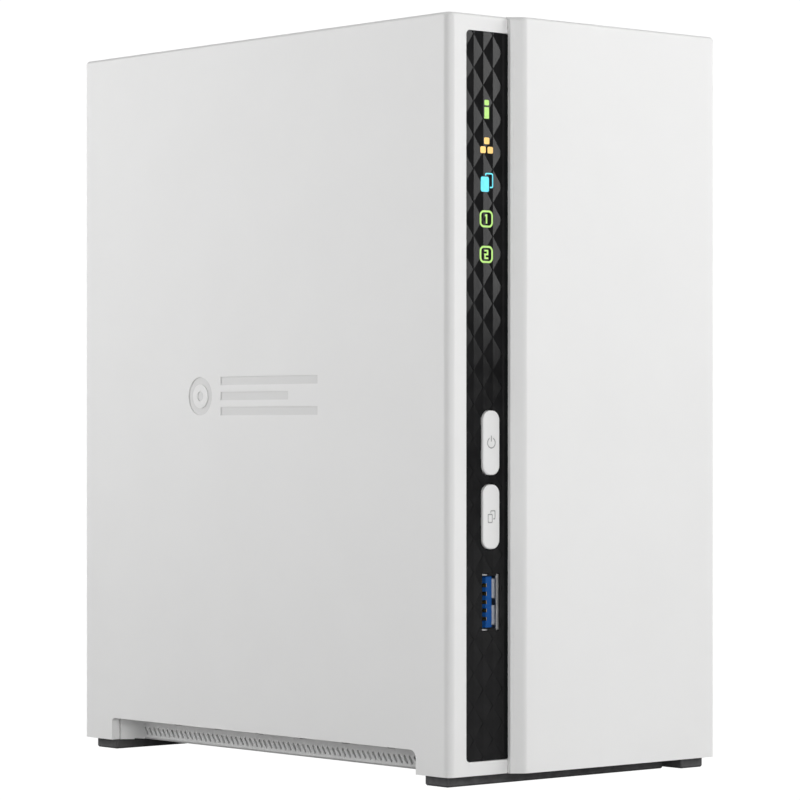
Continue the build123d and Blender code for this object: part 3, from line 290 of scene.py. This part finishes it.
def all_materials():
    """Every material by name; the record's slots are among them."""
    return {
        "white_plastic": moulded_plastic("white_plastic", WHITE),
        # The tray's greyer white is painted shade: the same white plastic, darkened to stand in for the
        # shadow on its pocket wall.
        "tray_painted_shade": moulded_plastic("tray_painted_shade", (0.74, 0.74, 0.735)),
        "white_button": moulded_plastic("white_button", (0.85, 0.85, 0.845), roughness=0.36, grain=0.5 * MM),
        "rear_paint": powder_coat("rear_paint", (0.74, 0.74, 0.73)),
        "zinc_steel": sheet_metal("zinc_steel", (0.58, 0.59, 0.60)),
        "black_gloss": gloss_black(),
        "lens_green": lit_lens("lens_green", (0.46, 0.76, 0.20), strength=0.78),
        "lens_amber": lit_lens("lens_amber", (1.0, 0.64, 0.20), strength=0.78),
        "lens_cyan": lit_lens("lens_cyan", (0.15, 0.80, 0.95), strength=0.78),
        "black_plastic": moulded_plastic("black_plastic", BLACK, roughness=0.5, variation=0.15),
        "grey_plastic": moulded_plastic("grey_plastic", (0.12, 0.125, 0.13), roughness=0.5, variation=0.08),
        "led_chip": lit_lens("led_chip", (0.9, 0.85, 0.55), strength=0.6),
        "bright_steel": machined("bright_steel", (0.56, 0.56, 0.56), roughness=0.36),
        "satin_nickel": satin_metal("satin_nickel", (0.72, 0.73, 0.75)),
        "blue_plastic": moulded_plastic("blue_plastic", (0.009, 0.085, 0.32), variation=0.1, shine=0.1),
        "contact_brass": machined("contact_brass", (0.83, 0.62, 0.25)),
        "circuit_board": circuit_board("circuit_board", (0.012, 0.105, 0.045)),
        "chip_black": moulded_plastic("chip_black", (0.014, 0.014, 0.015), roughness=0.4, variation=0.2),
        "anodised_aluminium": sheet_metal("anodised_aluminium", (0.22, 0.23, 0.25), roughness=0.4),
        "can_aluminium": machined("can_aluminium", (0.7, 0.7, 0.72), roughness=0.3),
        "cast_aluminium": cast_metal("cast_aluminium", (0.52, 0.53, 0.54)),
        "copper_winding": wound_copper("copper_winding"),
        "lead_sleeve": rubber("lead_sleeve", (0.015, 0.015, 0.016)),
        "screw_steel": machined("screw_steel", (0.42, 0.42, 0.43), roughness=0.3),
        # The button symbols' dark grey is painted shade: it stands in for the shadow inside their engraved
        # outlines.
        "symbol_painted_shade": moulded_plastic("symbol_painted_shade", (0.4, 0.4, 0.4)),
        "mark_grey": moulded_plastic("mark_grey", (0.69, 0.69, 0.685), roughness=0.4),
        "label_silver": moulded_plastic("label_silver", (0.62, 0.63, 0.64), roughness=0.34, depth=0.002 * MM),
        "label_band": moulded_plastic("label_band", (0.10, 0.16, 0.24), roughness=0.34, depth=0.002 * MM),
        "ceramic_tan": moulded_plastic("ceramic_tan", (0.36, 0.25, 0.15), roughness=0.35, variation=0.1),
        "rubber_grey": rubber("rubber_grey", (0.082, 0.082, 0.084)),
    }


def paint_cad_nodes(materials):
    """Give every CAD node the material of its slot in the record; the tray's white is made greyer as painted
    shade for its shadowed pocket wall.
    """
    for entry in frame["record"]["subparts"]:
        node = NODES[entry["node"]]
        node.data.materials.clear()
        node.data.materials.append(materials[entry["material_slot"]])
        for polygon in node.data.polygons:
            polygon.material_index = 0
    # Painted shade: the tray takes the greyer white that stands in for the shadow on its pocket wall.
    NODES["base_tray"].data.materials[0] = materials["tray_painted_shade"]


# ================================================================== mesh helpers
def link_object(name, data):
    """A new object in the scene for a mesh, camera or light."""
    made = bpy.data.objects.new(name, data)
    bpy.context.scene.collection.objects.link(made)
    return made


def mesh_object(name, vertices, faces):
    """An object from lists of vertices and faces."""
    mesh = bpy.data.meshes.new(name)
    mesh.from_pydata([tuple(v) for v in vertices], [], faces)
    mesh.update()
    return link_object(name, mesh)


def bmesh_object(name, shape):
    """An object from a bmesh, which is freed."""
    mesh = bpy.data.meshes.new(name)
    shape.to_mesh(mesh)
    shape.free()
    return link_object(name, mesh)


def box_mesh(name, low, high):
    """A closed box between two corners."""
    corners = [(x, y, z) for x in (low[0], high[0]) for y in (low[1], high[1]) for z in (low[2], high[2])]
    faces = [(0, 1, 3, 2), (4, 6, 7, 5), (0, 4, 5, 1), (2, 3, 7, 6), (0, 2, 6, 4), (1, 5, 7, 3)]
    return mesh_object(name, corners, faces)


def rounded_prism(name, x, z, y, radius, steps=8):
    """A closed prism along Y with rounded corners, between the (low, high) pairs x, z and y."""
    points = []
    centres = [(x[1] - radius, z[1] - radius, 0), (x[0] + radius, z[1] - radius, 90)]
    centres += [(x[0] + radius, z[0] + radius, 180), (x[1] - radius, z[0] + radius, 270)]
    for cx, cz, start in centres:
        for step in range(steps + 1):
            angle = math.radians(start + 90 * step / steps)
            points.append((cx + radius * math.cos(angle), cz + radius * math.sin(angle)))
    count = len(points)
    vertices = [(px, y[0], pz) for px, pz in points] + [(px, y[1], pz) for px, pz in points]
    faces = [tuple(range(count)), tuple(reversed(range(count, 2 * count)))]
    faces += [((i + 1) % count, i, i + count, (i + 1) % count + count) for i in range(count)]
    return mesh_object(name, vertices, faces)


def prism_along_z(name, outline, z):
    """A closed prism over a list of (x, y), between the heights z[0] and z[1]."""
    count = len(outline)
    vertices = [(x, y, z[0]) for x, y in outline] + [(x, y, z[1]) for x, y in outline]
    faces = [tuple(reversed(range(count))), tuple(range(count, 2 * count))]
    faces += [(i, (i + 1) % count, (i + 1) % count + count, i + count) for i in range(count)]
    made = mesh_object(name, vertices, faces)
    outward = bmesh.new()
    outward.from_mesh(made.data)
    bmesh.ops.recalc_face_normals(outward, faces=outward.faces)
    outward.to_mesh(made.data)
    outward.free()
    return made


def boolean(target, tool, operation):
    """Apply an exact boolean to the target and remove the tool."""
    modifier = target.modifiers.new("cut", "BOOLEAN")
    modifier.object = tool
    modifier.operation = operation
    modifier.solver = "EXACT"
    result = bpy.data.meshes.new_from_object(target.evaluated_get(bpy.context.evaluated_depsgraph_get()))
    target.modifiers.clear()
    old = target.data
    target.data = result
    bpy.data.meshes.remove(old)
    bpy.data.objects.remove(tool)


def join(name, pieces):
    """Join pieces into one object and remove them."""
    whole = bmesh.new()
    for piece in pieces:
        whole.from_mesh(piece.data)
    for piece in pieces:
        bpy.data.objects.remove(piece)
    return bmesh_object(name, whole)


def front_box(name, depth):
    """Low and high corner of the vertices of a node that lie within that depth of its front."""
    vertices = NODES[name].data.vertices
    front = min(v.co.y for v in vertices)
    near = [v.co for v in vertices if v.co.y < front + depth]
    low = Vector((min(c.x for c in near), front, min(c.z for c in near)))
    high = Vector((max(c.x for c in near), front, max(c.z for c in near)))
    return low, high


def finish_piece(piece, material, body):
    """Give a piece its finish and body."""
    piece.data.materials.clear()
    piece.data.materials.append(material)
    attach(piece, body)


# ================================================================== front strip
STRIP_THICKNESS = 2.0 * MM
STRIP_CORNER = 1.0 * MM
STRIP_FACE_DEPTH = 0.1 * MM     # vertices this near the front belong to the strip's face
CLIP_SET_BACK = 0.1 * MM        # the relief ends this far in front of the slab's back
BUTTON_GAP = 0.25 * MM
BUTTON_CORNER = 2.65 * MM
BUTTON_CAP_DEPTH = 1.2 * MM     # the cap without the wider flange behind the strip
SOCKET_GAP = 0.15 * MM
SOCKET_CORNER = 0.5 * MM
LENS_FACE_DEPTH = 0.5 * MM      # a lens's vertices this near the strip's front belong to its face
LENSES = ("status_lens", "network_lens", "copy_lens", "drive_1_lens", "drive_2_lens")

LEDGE_SET_BACK = 0.08 * MM      # behind the strip's face
LEDGE_CLEARANCE = 0.03 * MM     # in front of the socket's shell
LEDGE_ROOT = 0.2 * MM           # out past the shell, into the strip
LEDGE_SIDE = 0.38 * MM          # in over the shell's left wall
LEDGE_END = 0.42 * MM           # in over the shell's ends
LEDGE_END_LEFT = 2.35 * MM      # an end's ledge starts this far from the shell's left wall
LEDGE_END_RIGHT = 1.05 * MM     # and stops this far from its right wall


def diamond_ridges(low, high):
    """One closed ridge for each diamond: folded forward on its upright diagonal, low at its side tips."""
    half_x = RELIEF_PITCH_X - RELIEF_GROOVE
    half_z = RELIEF_PITCH_Z / 2 - RELIEF_GROOVE * RELIEF_PITCH_Z / (2 * RELIEF_PITCH_X)
    front = low.y
    tip = front + RELIEF_DEPTH
    root = tip + RELIEF_ROOT
    vertices = []
    faces = []
    first = math.floor((low.x - RELIEF_COLUMN_X) / RELIEF_PITCH_X)
    last = math.ceil((high.x - RELIEF_COLUMN_X) / RELIEF_PITCH_X)
    rows = math.ceil((high.z - low.z) / RELIEF_PITCH_Z) + 2
    for column in range(first, last + 1):
        x = RELIEF_COLUMN_X + column * RELIEF_PITCH_X
        shift = 0.5 if column % 2 == 0 else 0.0
        for row in range(-1, rows):
            z = RELIEF_VERTEX_Z - (row + shift) * RELIEF_PITCH_Z
            if z + half_z < low.z or z - half_z > high.z:
                continue
            start = len(vertices)
            outline = [(x, z + half_z, front), (x - half_x, z, tip)]
            outline += [(x, z - half_z, front), (x + half_x, z, tip)]
            vertices += [(px, py, pz) for px, pz, py in outline]
            vertices += [(px, root, pz) for px, pz, _ in outline]
            top, left, bottom, right = range(start, start + 4)
            faces += [(top, left, bottom), (top, bottom, right)]
            for a, b in ((top, left), (left, bottom), (bottom, right), (right, top)):
                faces.append((b, a, a + 4, b + 4))
            faces.append((right + 4, bottom + 4, left + 4, top + 4))
    return mesh_object("strip_ridges", vertices, faces)


def cut_around(target, box, through, margin, radius):
    """Cut a rounded opening with a margin all round a box."""
    low, high = box
    x = (low.x - margin, high.x + margin)
    z = (low.z - margin, high.z + margin)
    boolean(target, rounded_prism("cutter", x, z, through, radius), "DIFFERENCE")


def lens_cutter(name, front):
    """A copy of a lens made longer at both ends, for its hole in the strip."""
    cutter = NODES[name].copy()
    cutter.data = NODES[name].data.copy()
    cutter.parent = None
    bpy.context.scene.collection.objects.link(cutter)
    for vertex in cutter.data.vertices:
        vertex.co.y += -OVERCUT if vertex.co.y < front + LENS_FACE_DEPTH else OVERCUT
    return cutter


def cover_socket_edges(strip, front):
    """Thin ledges of the strip that hide the socket shell's left wall and most of its ends."""
    low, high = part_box("front_usb_shell")
    y = (front + LEDGE_SET_BACK, low.y - LEDGE_CLEARANCE)
    side = (low.x - LEDGE_ROOT, low.x + LEDGE_SIDE)
    ends = (low.x + LEDGE_END_LEFT, high.x - LEDGE_END_RIGHT)
    places = [(side, (low.z - LEDGE_ROOT, high.z + LEDGE_ROOT))]
    places.append((ends, (low.z - LEDGE_ROOT, low.z + LEDGE_END)))
    places.append((ends, (high.z - LEDGE_END, high.z + LEDGE_ROOT)))
    for x, z in places:
        boolean(strip, box_mesh("ledge", (x[0], y[0], z[0]), (x[1], y[1], z[1])), "UNION")


def faceted_strip(material):
    """The black strip with its relief of tall diamonds, open where the buttons, socket and icons are."""
    low, high = front_box("status_panel", STRIP_FACE_DEPTH)
    back = low.y + STRIP_THICKNESS
    outline = ((low.x, high.x), (low.z, high.z))
    slab = rounded_prism("front_strip", *outline, (low.y + RELIEF_DEPTH, back), STRIP_CORNER)
    ridges = diamond_ridges(low, high)
    clip = rounded_prism("clip", *outline, (low.y - OVERCUT, back - CLIP_SET_BACK), STRIP_CORNER)
    boolean(ridges, clip, "INTERSECT")
    boolean(slab, ridges, "UNION")
    panel_low, panel_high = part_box("status_panel")
    boolean(slab, box_mesh("flange", (panel_low.x, back, panel_low.z), panel_high), "UNION")
    through = (low.y - OVERCUT, panel_high.y + OVERCUT)
    for name in ("power_button", "copy_button"):
        cut_around(slab, front_box(name, BUTTON_CAP_DEPTH), through, BUTTON_GAP, BUTTON_CORNER)
    cut_around(slab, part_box("front_usb_shell"), through, SOCKET_GAP, SOCKET_CORNER)
    cover_socket_edges(slab, low.y + RELIEF_DEPTH)
    for name in LENSES:
        boolean(slab, lens_cutter(name, low.y), "DIFFERENCE")
    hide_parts("status_panel")
    finish_piece(slab, material, "chassis")


# ================================================================== sockets
SHELL_WALL = 0.35 * MM
SHELL_LIP = 0.25 * MM           # how far a shell's lip stands out to the right at its mouth
SPRING_PROFILE = [(0.75, 0.0), (1.95, 0.62), (4.3, 0.62), (6.6, 0.0)]     # mm: in, off the wall
SPRING_SHEET = 0.2 * MM
SPRING_START = 1.3 * MM         # from the shell's end to a spring
SPRING_LENGTH = 4.8 * MM

TONGUE_REACH = 3.6 * MM         # the tongue's left face, from the shell's right wall
TONGUE_GAP = 1.6 * MM           # and its right face
TONGUE_HALF = 6.35 * MM
TONGUE_SET_BACK = 0.6 * MM
TONGUE_ROOT = 3.6 * MM
CONTACT_STEPS = (-2, -1, 0, 1, 2)
CONTACT_PITCH = 2.08 * MM
CONTACT_HALF = 0.45 * MM
CONTACT_SUNK = 0.2 * MM         # below the tongue's left face
CONTACT_STOP = 4.0 * MM         # before the tongue's back
GROOVE_HALF = 0.5 * MM
GROOVE_DEPTH = 0.32 * MM

WIRE_COUNT = 8
WIRE_PITCH = 1.02 * MM
WIRE_HALF = 0.17 * MM
WIRE_THICKNESS = 0.35 * MM
WIRE_INSET = 1.4 * MM           # from the socket's right wall, at the mouth
WIRE_LEAN = 2.85 * MM           # how much further in a wire is at its back
WIRE_START = 2.2 * MM           # behind the mouth
WIRE_STOP = 9.5 * MM


def socket_springs(wall_x, mouth_y, inward, z):
    """Two bent sheet-metal springs on the inside of a socket shell's right wall."""
    face = [(wall_x - off * MM, mouth_y + inward * deep * MM) for deep, off in SPRING_PROFILE]
    back = [(x + SPRING_SHEET, y) for x, y in reversed(face)]
    springs = []
    for low in (z[0] + SPRING_START, z[1] - SPRING_START - SPRING_LENGTH):
        springs.append(prism_along_z("spring", face + back, (low, low + SPRING_LENGTH)))
    return springs


def usb_springs(material):
    """Springs of the front socket and of the two rear ones."""
    low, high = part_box("front_usb_shell")
    height = high.z - low.z
    pieces = socket_springs(high.x - SHELL_LIP - SHELL_WALL, low.y, 1, (low.z, high.z))
    rear_low, rear_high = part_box("rear_usb_shells")
    for z in ((rear_low.z, rear_low.z + height), (rear_high.z - height, rear_high.z)):
        pieces += socket_springs(rear_high.x - SHELL_LIP - SHELL_WALL, rear_high.y, -1, z)
    finish_piece(join("usb_springs", pieces), material, "chassis")


def front_tongue(materials):
    """Fuller tongue for the front socket, with gold strips that show in the mouths of its grooves."""
    low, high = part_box("front_usb_shell")
    root_low, root_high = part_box("front_usb_tongue")
    left = high.x - SHELL_LIP - TONGUE_REACH
    right = high.x - SHELL_LIP - TONGUE_GAP
    front = low.y + TONGUE_SET_BACK
    back = root_high.y
    stop = back - CONTACT_STOP
    middle = (low.z + high.z) / 2
    bottom = middle - TONGUE_HALF
    tongue = box_mesh("front_tongue", (left, front, bottom), (right, back, middle + TONGUE_HALF))
    boolean(tongue, box_mesh("root", (root_low.x, back - TONGUE_ROOT, root_low.z), root_high), "UNION")
    strips = []
    for step in CONTACT_STEPS:
        z = middle + step * CONTACT_PITCH
        groove_low = (left - OVERCUT, front - OVERCUT, z - GROOVE_HALF)
        groove = box_mesh("groove", groove_low, (left + GROOVE_DEPTH, stop, z + GROOVE_HALF))
        boolean(tongue, groove, "DIFFERENCE")
        strip_low = (left + CONTACT_SUNK, front, z - CONTACT_HALF)
        strips.append(box_mesh("strip", strip_low, (left + GROOVE_DEPTH, stop, z + CONTACT_HALF)))
    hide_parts("front_usb_tongue")
    finish_piece(tongue, materials["blue_plastic"], "chassis")
    finish_piece(join("front_strips", strips), materials["contact_brass"], "chassis")


def ethernet_contacts(material):
    """Eight sprung wires that slope in from the mouth of the network socket."""
    low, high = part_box("ethernet_port")
    middle = (low.z + high.z) / 2
    right = high.x - WIRE_INSET
    mouth = high.y - WIRE_START
    back = high.y - WIRE_STOP
    outline = [(right, mouth), (right - WIRE_THICKNESS, mouth)]
    outline += [(right - WIRE_LEAN - WIRE_THICKNESS, back), (right - WIRE_LEAN, back)]
    wires = []
    for index in range(WIRE_COUNT):
        z = middle + (index - (WIRE_COUNT - 1) / 2) * WIRE_PITCH
        wires.append(prism_along_z("wire", outline, (z - WIRE_HALF, z + WIRE_HALF)))
    finish_piece(join("ethernet_contacts", wires), material, "chassis")


# ================================================================== inlays
MARK_DEPTH = 0.45 * MM          # of the mark's recess in the left wall
MARK_FILL = 0.27 * MM           # how much of that depth the inlay fills
SYMBOL_DEPTH = 0.2 * MM
SYMBOL_FILL = 0.08 * MM
LEVEL_TOLERANCE = 0.02 * MM
FACING_OUT = -0.9               # a recess's floor faces down its axis at least this squarely


def recess_inlay(name, node_name, axis, level, rise):
    """Inlay that fills part of a shallow recess: the node's faces at that level, raised outwards."""
    inlay = bmesh.new()
    inlay.from_mesh(NODES[node_name].data)
    others = [
        face for face in inlay.faces
        if face.normal[axis] > FACING_OUT
        or abs(face.calc_center_median()[axis] - level) > LEVEL_TOLERANCE
    ]
    bmesh.ops.delete(inlay, geom=others, context="FACES")
    grown = bmesh.ops.extrude_face_region(inlay, geom=inlay.faces[:])
    raised = [item for item in grown["geom"] if isinstance(item, bmesh.types.BMVert)]
    outward = Vector((0, 0, 0))
    outward[axis] = -rise
    bmesh.ops.translate(inlay, verts=raised, vec=outward)
    bmesh.ops.recalc_face_normals(inlay, faces=inlay.faces)
    return bmesh_object(name, inlay)


def inlays(materials):
    """Grey inlay in the left shell's mark, and darker fills in the two button symbols that are painted shade
    for their engraving.
    """
    mark_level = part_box("left_shell")[0].x + MARK_DEPTH
    mark = recess_inlay("side_mark_inlay", "left_shell", 0, mark_level, MARK_FILL)
    finish_piece(mark, materials["mark_grey"], "chassis")
    for key in ("power", "copy"):
        level = front_box(f"{key}_button", BUTTON_CAP_DEPTH)[0].y + SYMBOL_DEPTH
        # Painted shade: a dark fill in the engraved symbol, standing in for the shadow in its recess.
        symbol = recess_inlay(f"{key}_symbol_shade_fill", f"{key}_button", 1, level, SYMBOL_FILL)
        finish_piece(symbol, materials["symbol_painted_shade"], f"{key}_key")


# ================================================================== details on the main board
BOARD_FACE_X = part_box("mainboard")[1].x
BOARD_CLEARANCE = 6.0 * MM      # a part stands free when nothing is between this height and the board
BOARD_TOLERANCE = 0.05 * MM
BOARD_EDGE = 4.0 * MM           # kept free of scattered parts
BOARD_REAR = 14.0 * MM          # the same, where the sockets are
SCATTERED_PARTS = 90

LEG_PITCH = 1.27 * MM
LEG_CORNER = 0.6 * MM           # length of a chip's side without legs
LEG_REACH = 0.35 * MM           # from a chip's side to the middle of a leg
LEG_HALF = (0.4 * MM, 0.2 * MM)
LEG_HEIGHT = 0.25 * MM

ROW_PITCH = 2.6 * MM            # small parts in a row beside a chip
ROW_DISTANCE = 3.2 * MM         # from the chip to the row
PART_HALF = (1.0 * MM, 0.6 * MM)
PART_HEIGHT = 0.55 * MM
PART_SPACING = 2.5 * MM
PART_MARGIN = 0.5 * MM          # free board round a small part
END_HALF = 0.25 * MM
END_HEIGHT = 0.6 * MM


def solid_boxes(node_name):
    """(low, high) of every separate solid in a node, sorted by place, so each run has the same order."""
    mesh = bmesh.new()
    mesh.from_mesh(NODES[node_name].data)
    waiting = set(mesh.verts)
    boxes = []
    while waiting:
        frontier = [waiting.pop()]
        found = []
        while frontier:
            vertex = frontier.pop()
            found.append(vertex.co.copy())
            for link in vertex.link_edges:
                other = link.other_vert(vertex)
                if other in waiting:
                    waiting.remove(other)
                    frontier.append(other)
        boxes.append((
            Vector(min(co[axis] for co in found) for axis in range(3)),
            Vector(max(co[axis] for co in found) for axis in range(3)),
        ))
    mesh.free()
    return sorted(boxes, key=lambda box: [round(value / MM, 3) for corner in box for value in corner])


def board_is_free(y, z, half_y, half_z):
    """True when nothing stands on that rectangle of the main board."""
    graph = bpy.context.evaluated_depsgraph_get()
    for step_y in (-1, 0, 1):
        for step_z in (-1, 0, 1):
            start = Vector((BOARD_FACE_X + BOARD_CLEARANCE, y + step_y * half_y, z + step_z * half_z))
            hit, place, _, _, thing, _ = bpy.context.scene.ray_cast(graph, start, Vector((-1, 0, 0)))
            if not hit or thing != NODES["mainboard"] or abs(place.x - BOARD_FACE_X) > BOARD_TOLERANCE:
                return False
    return True


def on_board(name, y, z, half_y, half_z, height):
    """A box standing on the main board."""
    low = (BOARD_FACE_X, y - half_y, z - half_z)
    return box_mesh(name, low, (BOARD_FACE_X + height, y + half_y, z + half_z))


def chip_legs(boxes):
    """Bent pins along the two long sides of every chip."""
    legs = []
    for low, high in boxes:
        middle = (low + high) / 2
        size = high - low
        upright = size.z >= size.y
        length, width = (size.z, size.y) if upright else (size.y, size.z)
        half = LEG_HALF if upright else LEG_HALF[::-1]
        count = int((length - LEG_CORNER) / LEG_PITCH)
        for index in range(count):
            offset = (index - (count - 1) / 2) * LEG_PITCH
            for side in (-1, 1):
                reach = side * (width / 2 + LEG_REACH)
                shift = (reach, offset) if upright else (offset, reach)
                legs.append(on_board("leg", middle.y + shift[0], middle.z + shift[1], *half, LEG_HEIGHT))
    return legs


def small_parts(boxes):
    """(y, z, upright) of the small capacitors and resistors: rows beside each chip, then a scatter."""
    places = []
    for low, high in boxes:
        for row_z in (low.z - ROW_DISTANCE, high.z + ROW_DISTANCE):
            for index in range(int((high.y - low.y) / ROW_PITCH) + 1):
                places.append((low.y + index * ROW_PITCH, row_z, index % 2 == 0))
    low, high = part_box("mainboard")
    for _ in range(SCATTERED_PARTS):
        y = random.uniform(low.y + BOARD_EDGE, high.y - BOARD_REAR)
        z = random.uniform(low.z + BOARD_EDGE, high.z - BOARD_EDGE)
        places.append((round(y / MM) * MM, round(z / MM) * MM, random.random() < 0.5))
    return places


def board_details(materials):
    """Chip pins, and small parts with bright ends, on the free areas of the main board."""
    boxes = solid_boxes("board_chips")
    finish_piece(join("chip_legs", chip_legs(boxes)), materials["bright_steel"], "chassis")
    bodies = []
    ends = []
    taken = []
    for y, z, upright in small_parts(boxes):
        half_y, half_z = PART_HALF[::-1] if upright else PART_HALF
        crowded = any(abs(y - other_y) + abs(z - other_z) < PART_SPACING for other_y, other_z in taken)
        if crowded or not board_is_free(y, z, half_y + PART_MARGIN, half_z + PART_MARGIN):
            continue
        taken.append((y, z))
        bodies.append(on_board("body", y, z, half_y, half_z, PART_HEIGHT))
        for side in (-1, 1):
            shift_y, shift_z = (0, side * half_z) if upright else (side * half_y, 0)
            end_y, end_z = (half_y, END_HALF) if upright else (END_HALF, half_z)
            ends.append(on_board("end", y + shift_y, z + shift_z, end_y, end_z, END_HEIGHT))
    finish_piece(join("small_parts", bodies), materials["ceramic_tan"], "chassis")
    finish_piece(join("small_part_ends", ends), materials["bright_steel"], "chassis")


# ================================================================== stickers
STICKER_SIDE = 9.0 * MM
STICKER_BOTTOM = 48.0 * MM
STICKER_TOP = 12.0 * MM
STICKER_THICKNESS = 0.08 * MM
BAND_INSET = 3.0 * MM
BAND_BOTTOM = 14.0 * MM         # from the sticker's top edge
BAND_THICKNESS = 0.04 * MM


def drive_sticker(number, materials):
    """Blank sticker with one dark band on a drive's lid."""
    low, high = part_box(f"drive_{number}_lid")
    body = f"drive_sled_{number}"
    face = high.x
    top = face + STICKER_THICKNESS
    y = (low.y + STICKER_SIDE, high.y - STICKER_SIDE)
    z = (low.z + STICKER_BOTTOM, high.z - STICKER_TOP)
    paper = box_mesh(f"drive_{number}_sticker", (face, y[0], z[0]), (top, y[1], z[1]))
    finish_piece(paper, materials["label_silver"], body)
    band_low = (top, y[0] + BAND_INSET, z[1] - BAND_BOTTOM)
    band_high = (top + BAND_THICKNESS, y[1] - BAND_INSET, z[1] - BAND_INSET)
    band = box_mesh(f"drive_{number}_band", band_low, band_high)
    finish_piece(band, materials["label_band"], body)


# ================================================================== stage
def camera():
    """The photo's viewpoint: a level camera with its view shifted up."""
    data = bpy.data.cameras.new("camera")
    data.lens = CAMERA_LENS
    data.sensor_width = CAMERA_SENSOR
    data.shift_y = CAMERA_SHIFT_Y
    data.clip_start = CAMERA_NEAREST
    made = link_object("camera", data)
    made.location = CAMERA_PLACE
    made.rotation_euler = (math.radians(90), 0, math.radians(-CAMERA_YAW))
    bpy.context.scene.camera = made


def softbox(azimuth, elevation, power):
    """A square softbox aimed at the middle of the object."""
    data = bpy.data.lights.new("softbox", "AREA")
    data.shape = "SQUARE"
    data.size = SOFTBOX_SIZE
    data.energy = power
    turn = math.radians(azimuth)
    lift = math.radians(elevation)
    away = Vector((math.sin(turn) * math.cos(lift), -math.cos(turn) * math.cos(lift), math.sin(lift)))
    made = link_object("softbox", data)
    made.location = LIGHT_AIM + away * SOFTBOX_DISTANCE
    made.rotation_euler = (-away).to_track_quat("-Z", "Y").to_euler()


def seen_white(tree, surface, lit):
    """Make a surface or world plain white where the camera looks straight at it."""
    path = tree.nodes.new("ShaderNodeLightPath")
    white = tree.nodes.new("ShaderNodeEmission" if lit.type == "BSDF_PRINCIPLED" else "ShaderNodeBackground")
    white.inputs["Color"].default_value = (1, 1, 1, 1)
    white.inputs["Strength"].default_value = SEEN_WHITE
    mix = tree.nodes.new("ShaderNodeMixShader")
    tree.links.new(path.outputs["Is Camera Ray"], mix.inputs[0])
    tree.links.new(lit.outputs[0], mix.inputs[1])
    tree.links.new(white.outputs[0], mix.inputs[2])
    tree.links.new(mix.outputs[0], surface)


def studio():
    """Pale floor, white surroundings and softboxes."""
    reach = FLOOR_REACH
    corners = [(-reach, -reach, 0), (reach, -reach, 0), (reach, reach, 0), (-reach, reach, 0)]
    floor = mesh_object("floor", corners, [(0, 1, 2, 3)])
    made = Shader("floor_white", FLOOR_GREY, 0.9)
    output = made.tree.nodes["Material Output"]
    seen_white(made.tree, output.inputs["Surface"], made.bsdf)
    floor.data.materials.append(made.material)
    world = bpy.data.worlds.new("surroundings")
    bpy.context.scene.world = world
    world.use_nodes = True
    tree = world.node_tree
    background = tree.nodes["Background"]
    background.inputs["Color"].default_value = (1, 1, 1, 1)
    background.inputs["Strength"].default_value = WORLD_LIGHT
    seen_white(tree, tree.nodes["World Output"].inputs["Surface"], background)
    for light in SOFTBOXES:
        softbox(*light)
    bpy.context.scene.view_settings.view_transform = "Standard"


def main():
    """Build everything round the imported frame."""
    random.seed(7)
    materials = all_materials()
    camera()
    paint_cad_nodes(materials)
    faceted_strip(materials["black_gloss"])
    usb_springs(materials["satin_nickel"])
    ethernet_contacts(materials["contact_brass"])
    front_tongue(materials)
    inlays(materials)
    board_details(materials)
    for number in (1, 2):
        drive_sticker(number, materials)
    studio()


main()
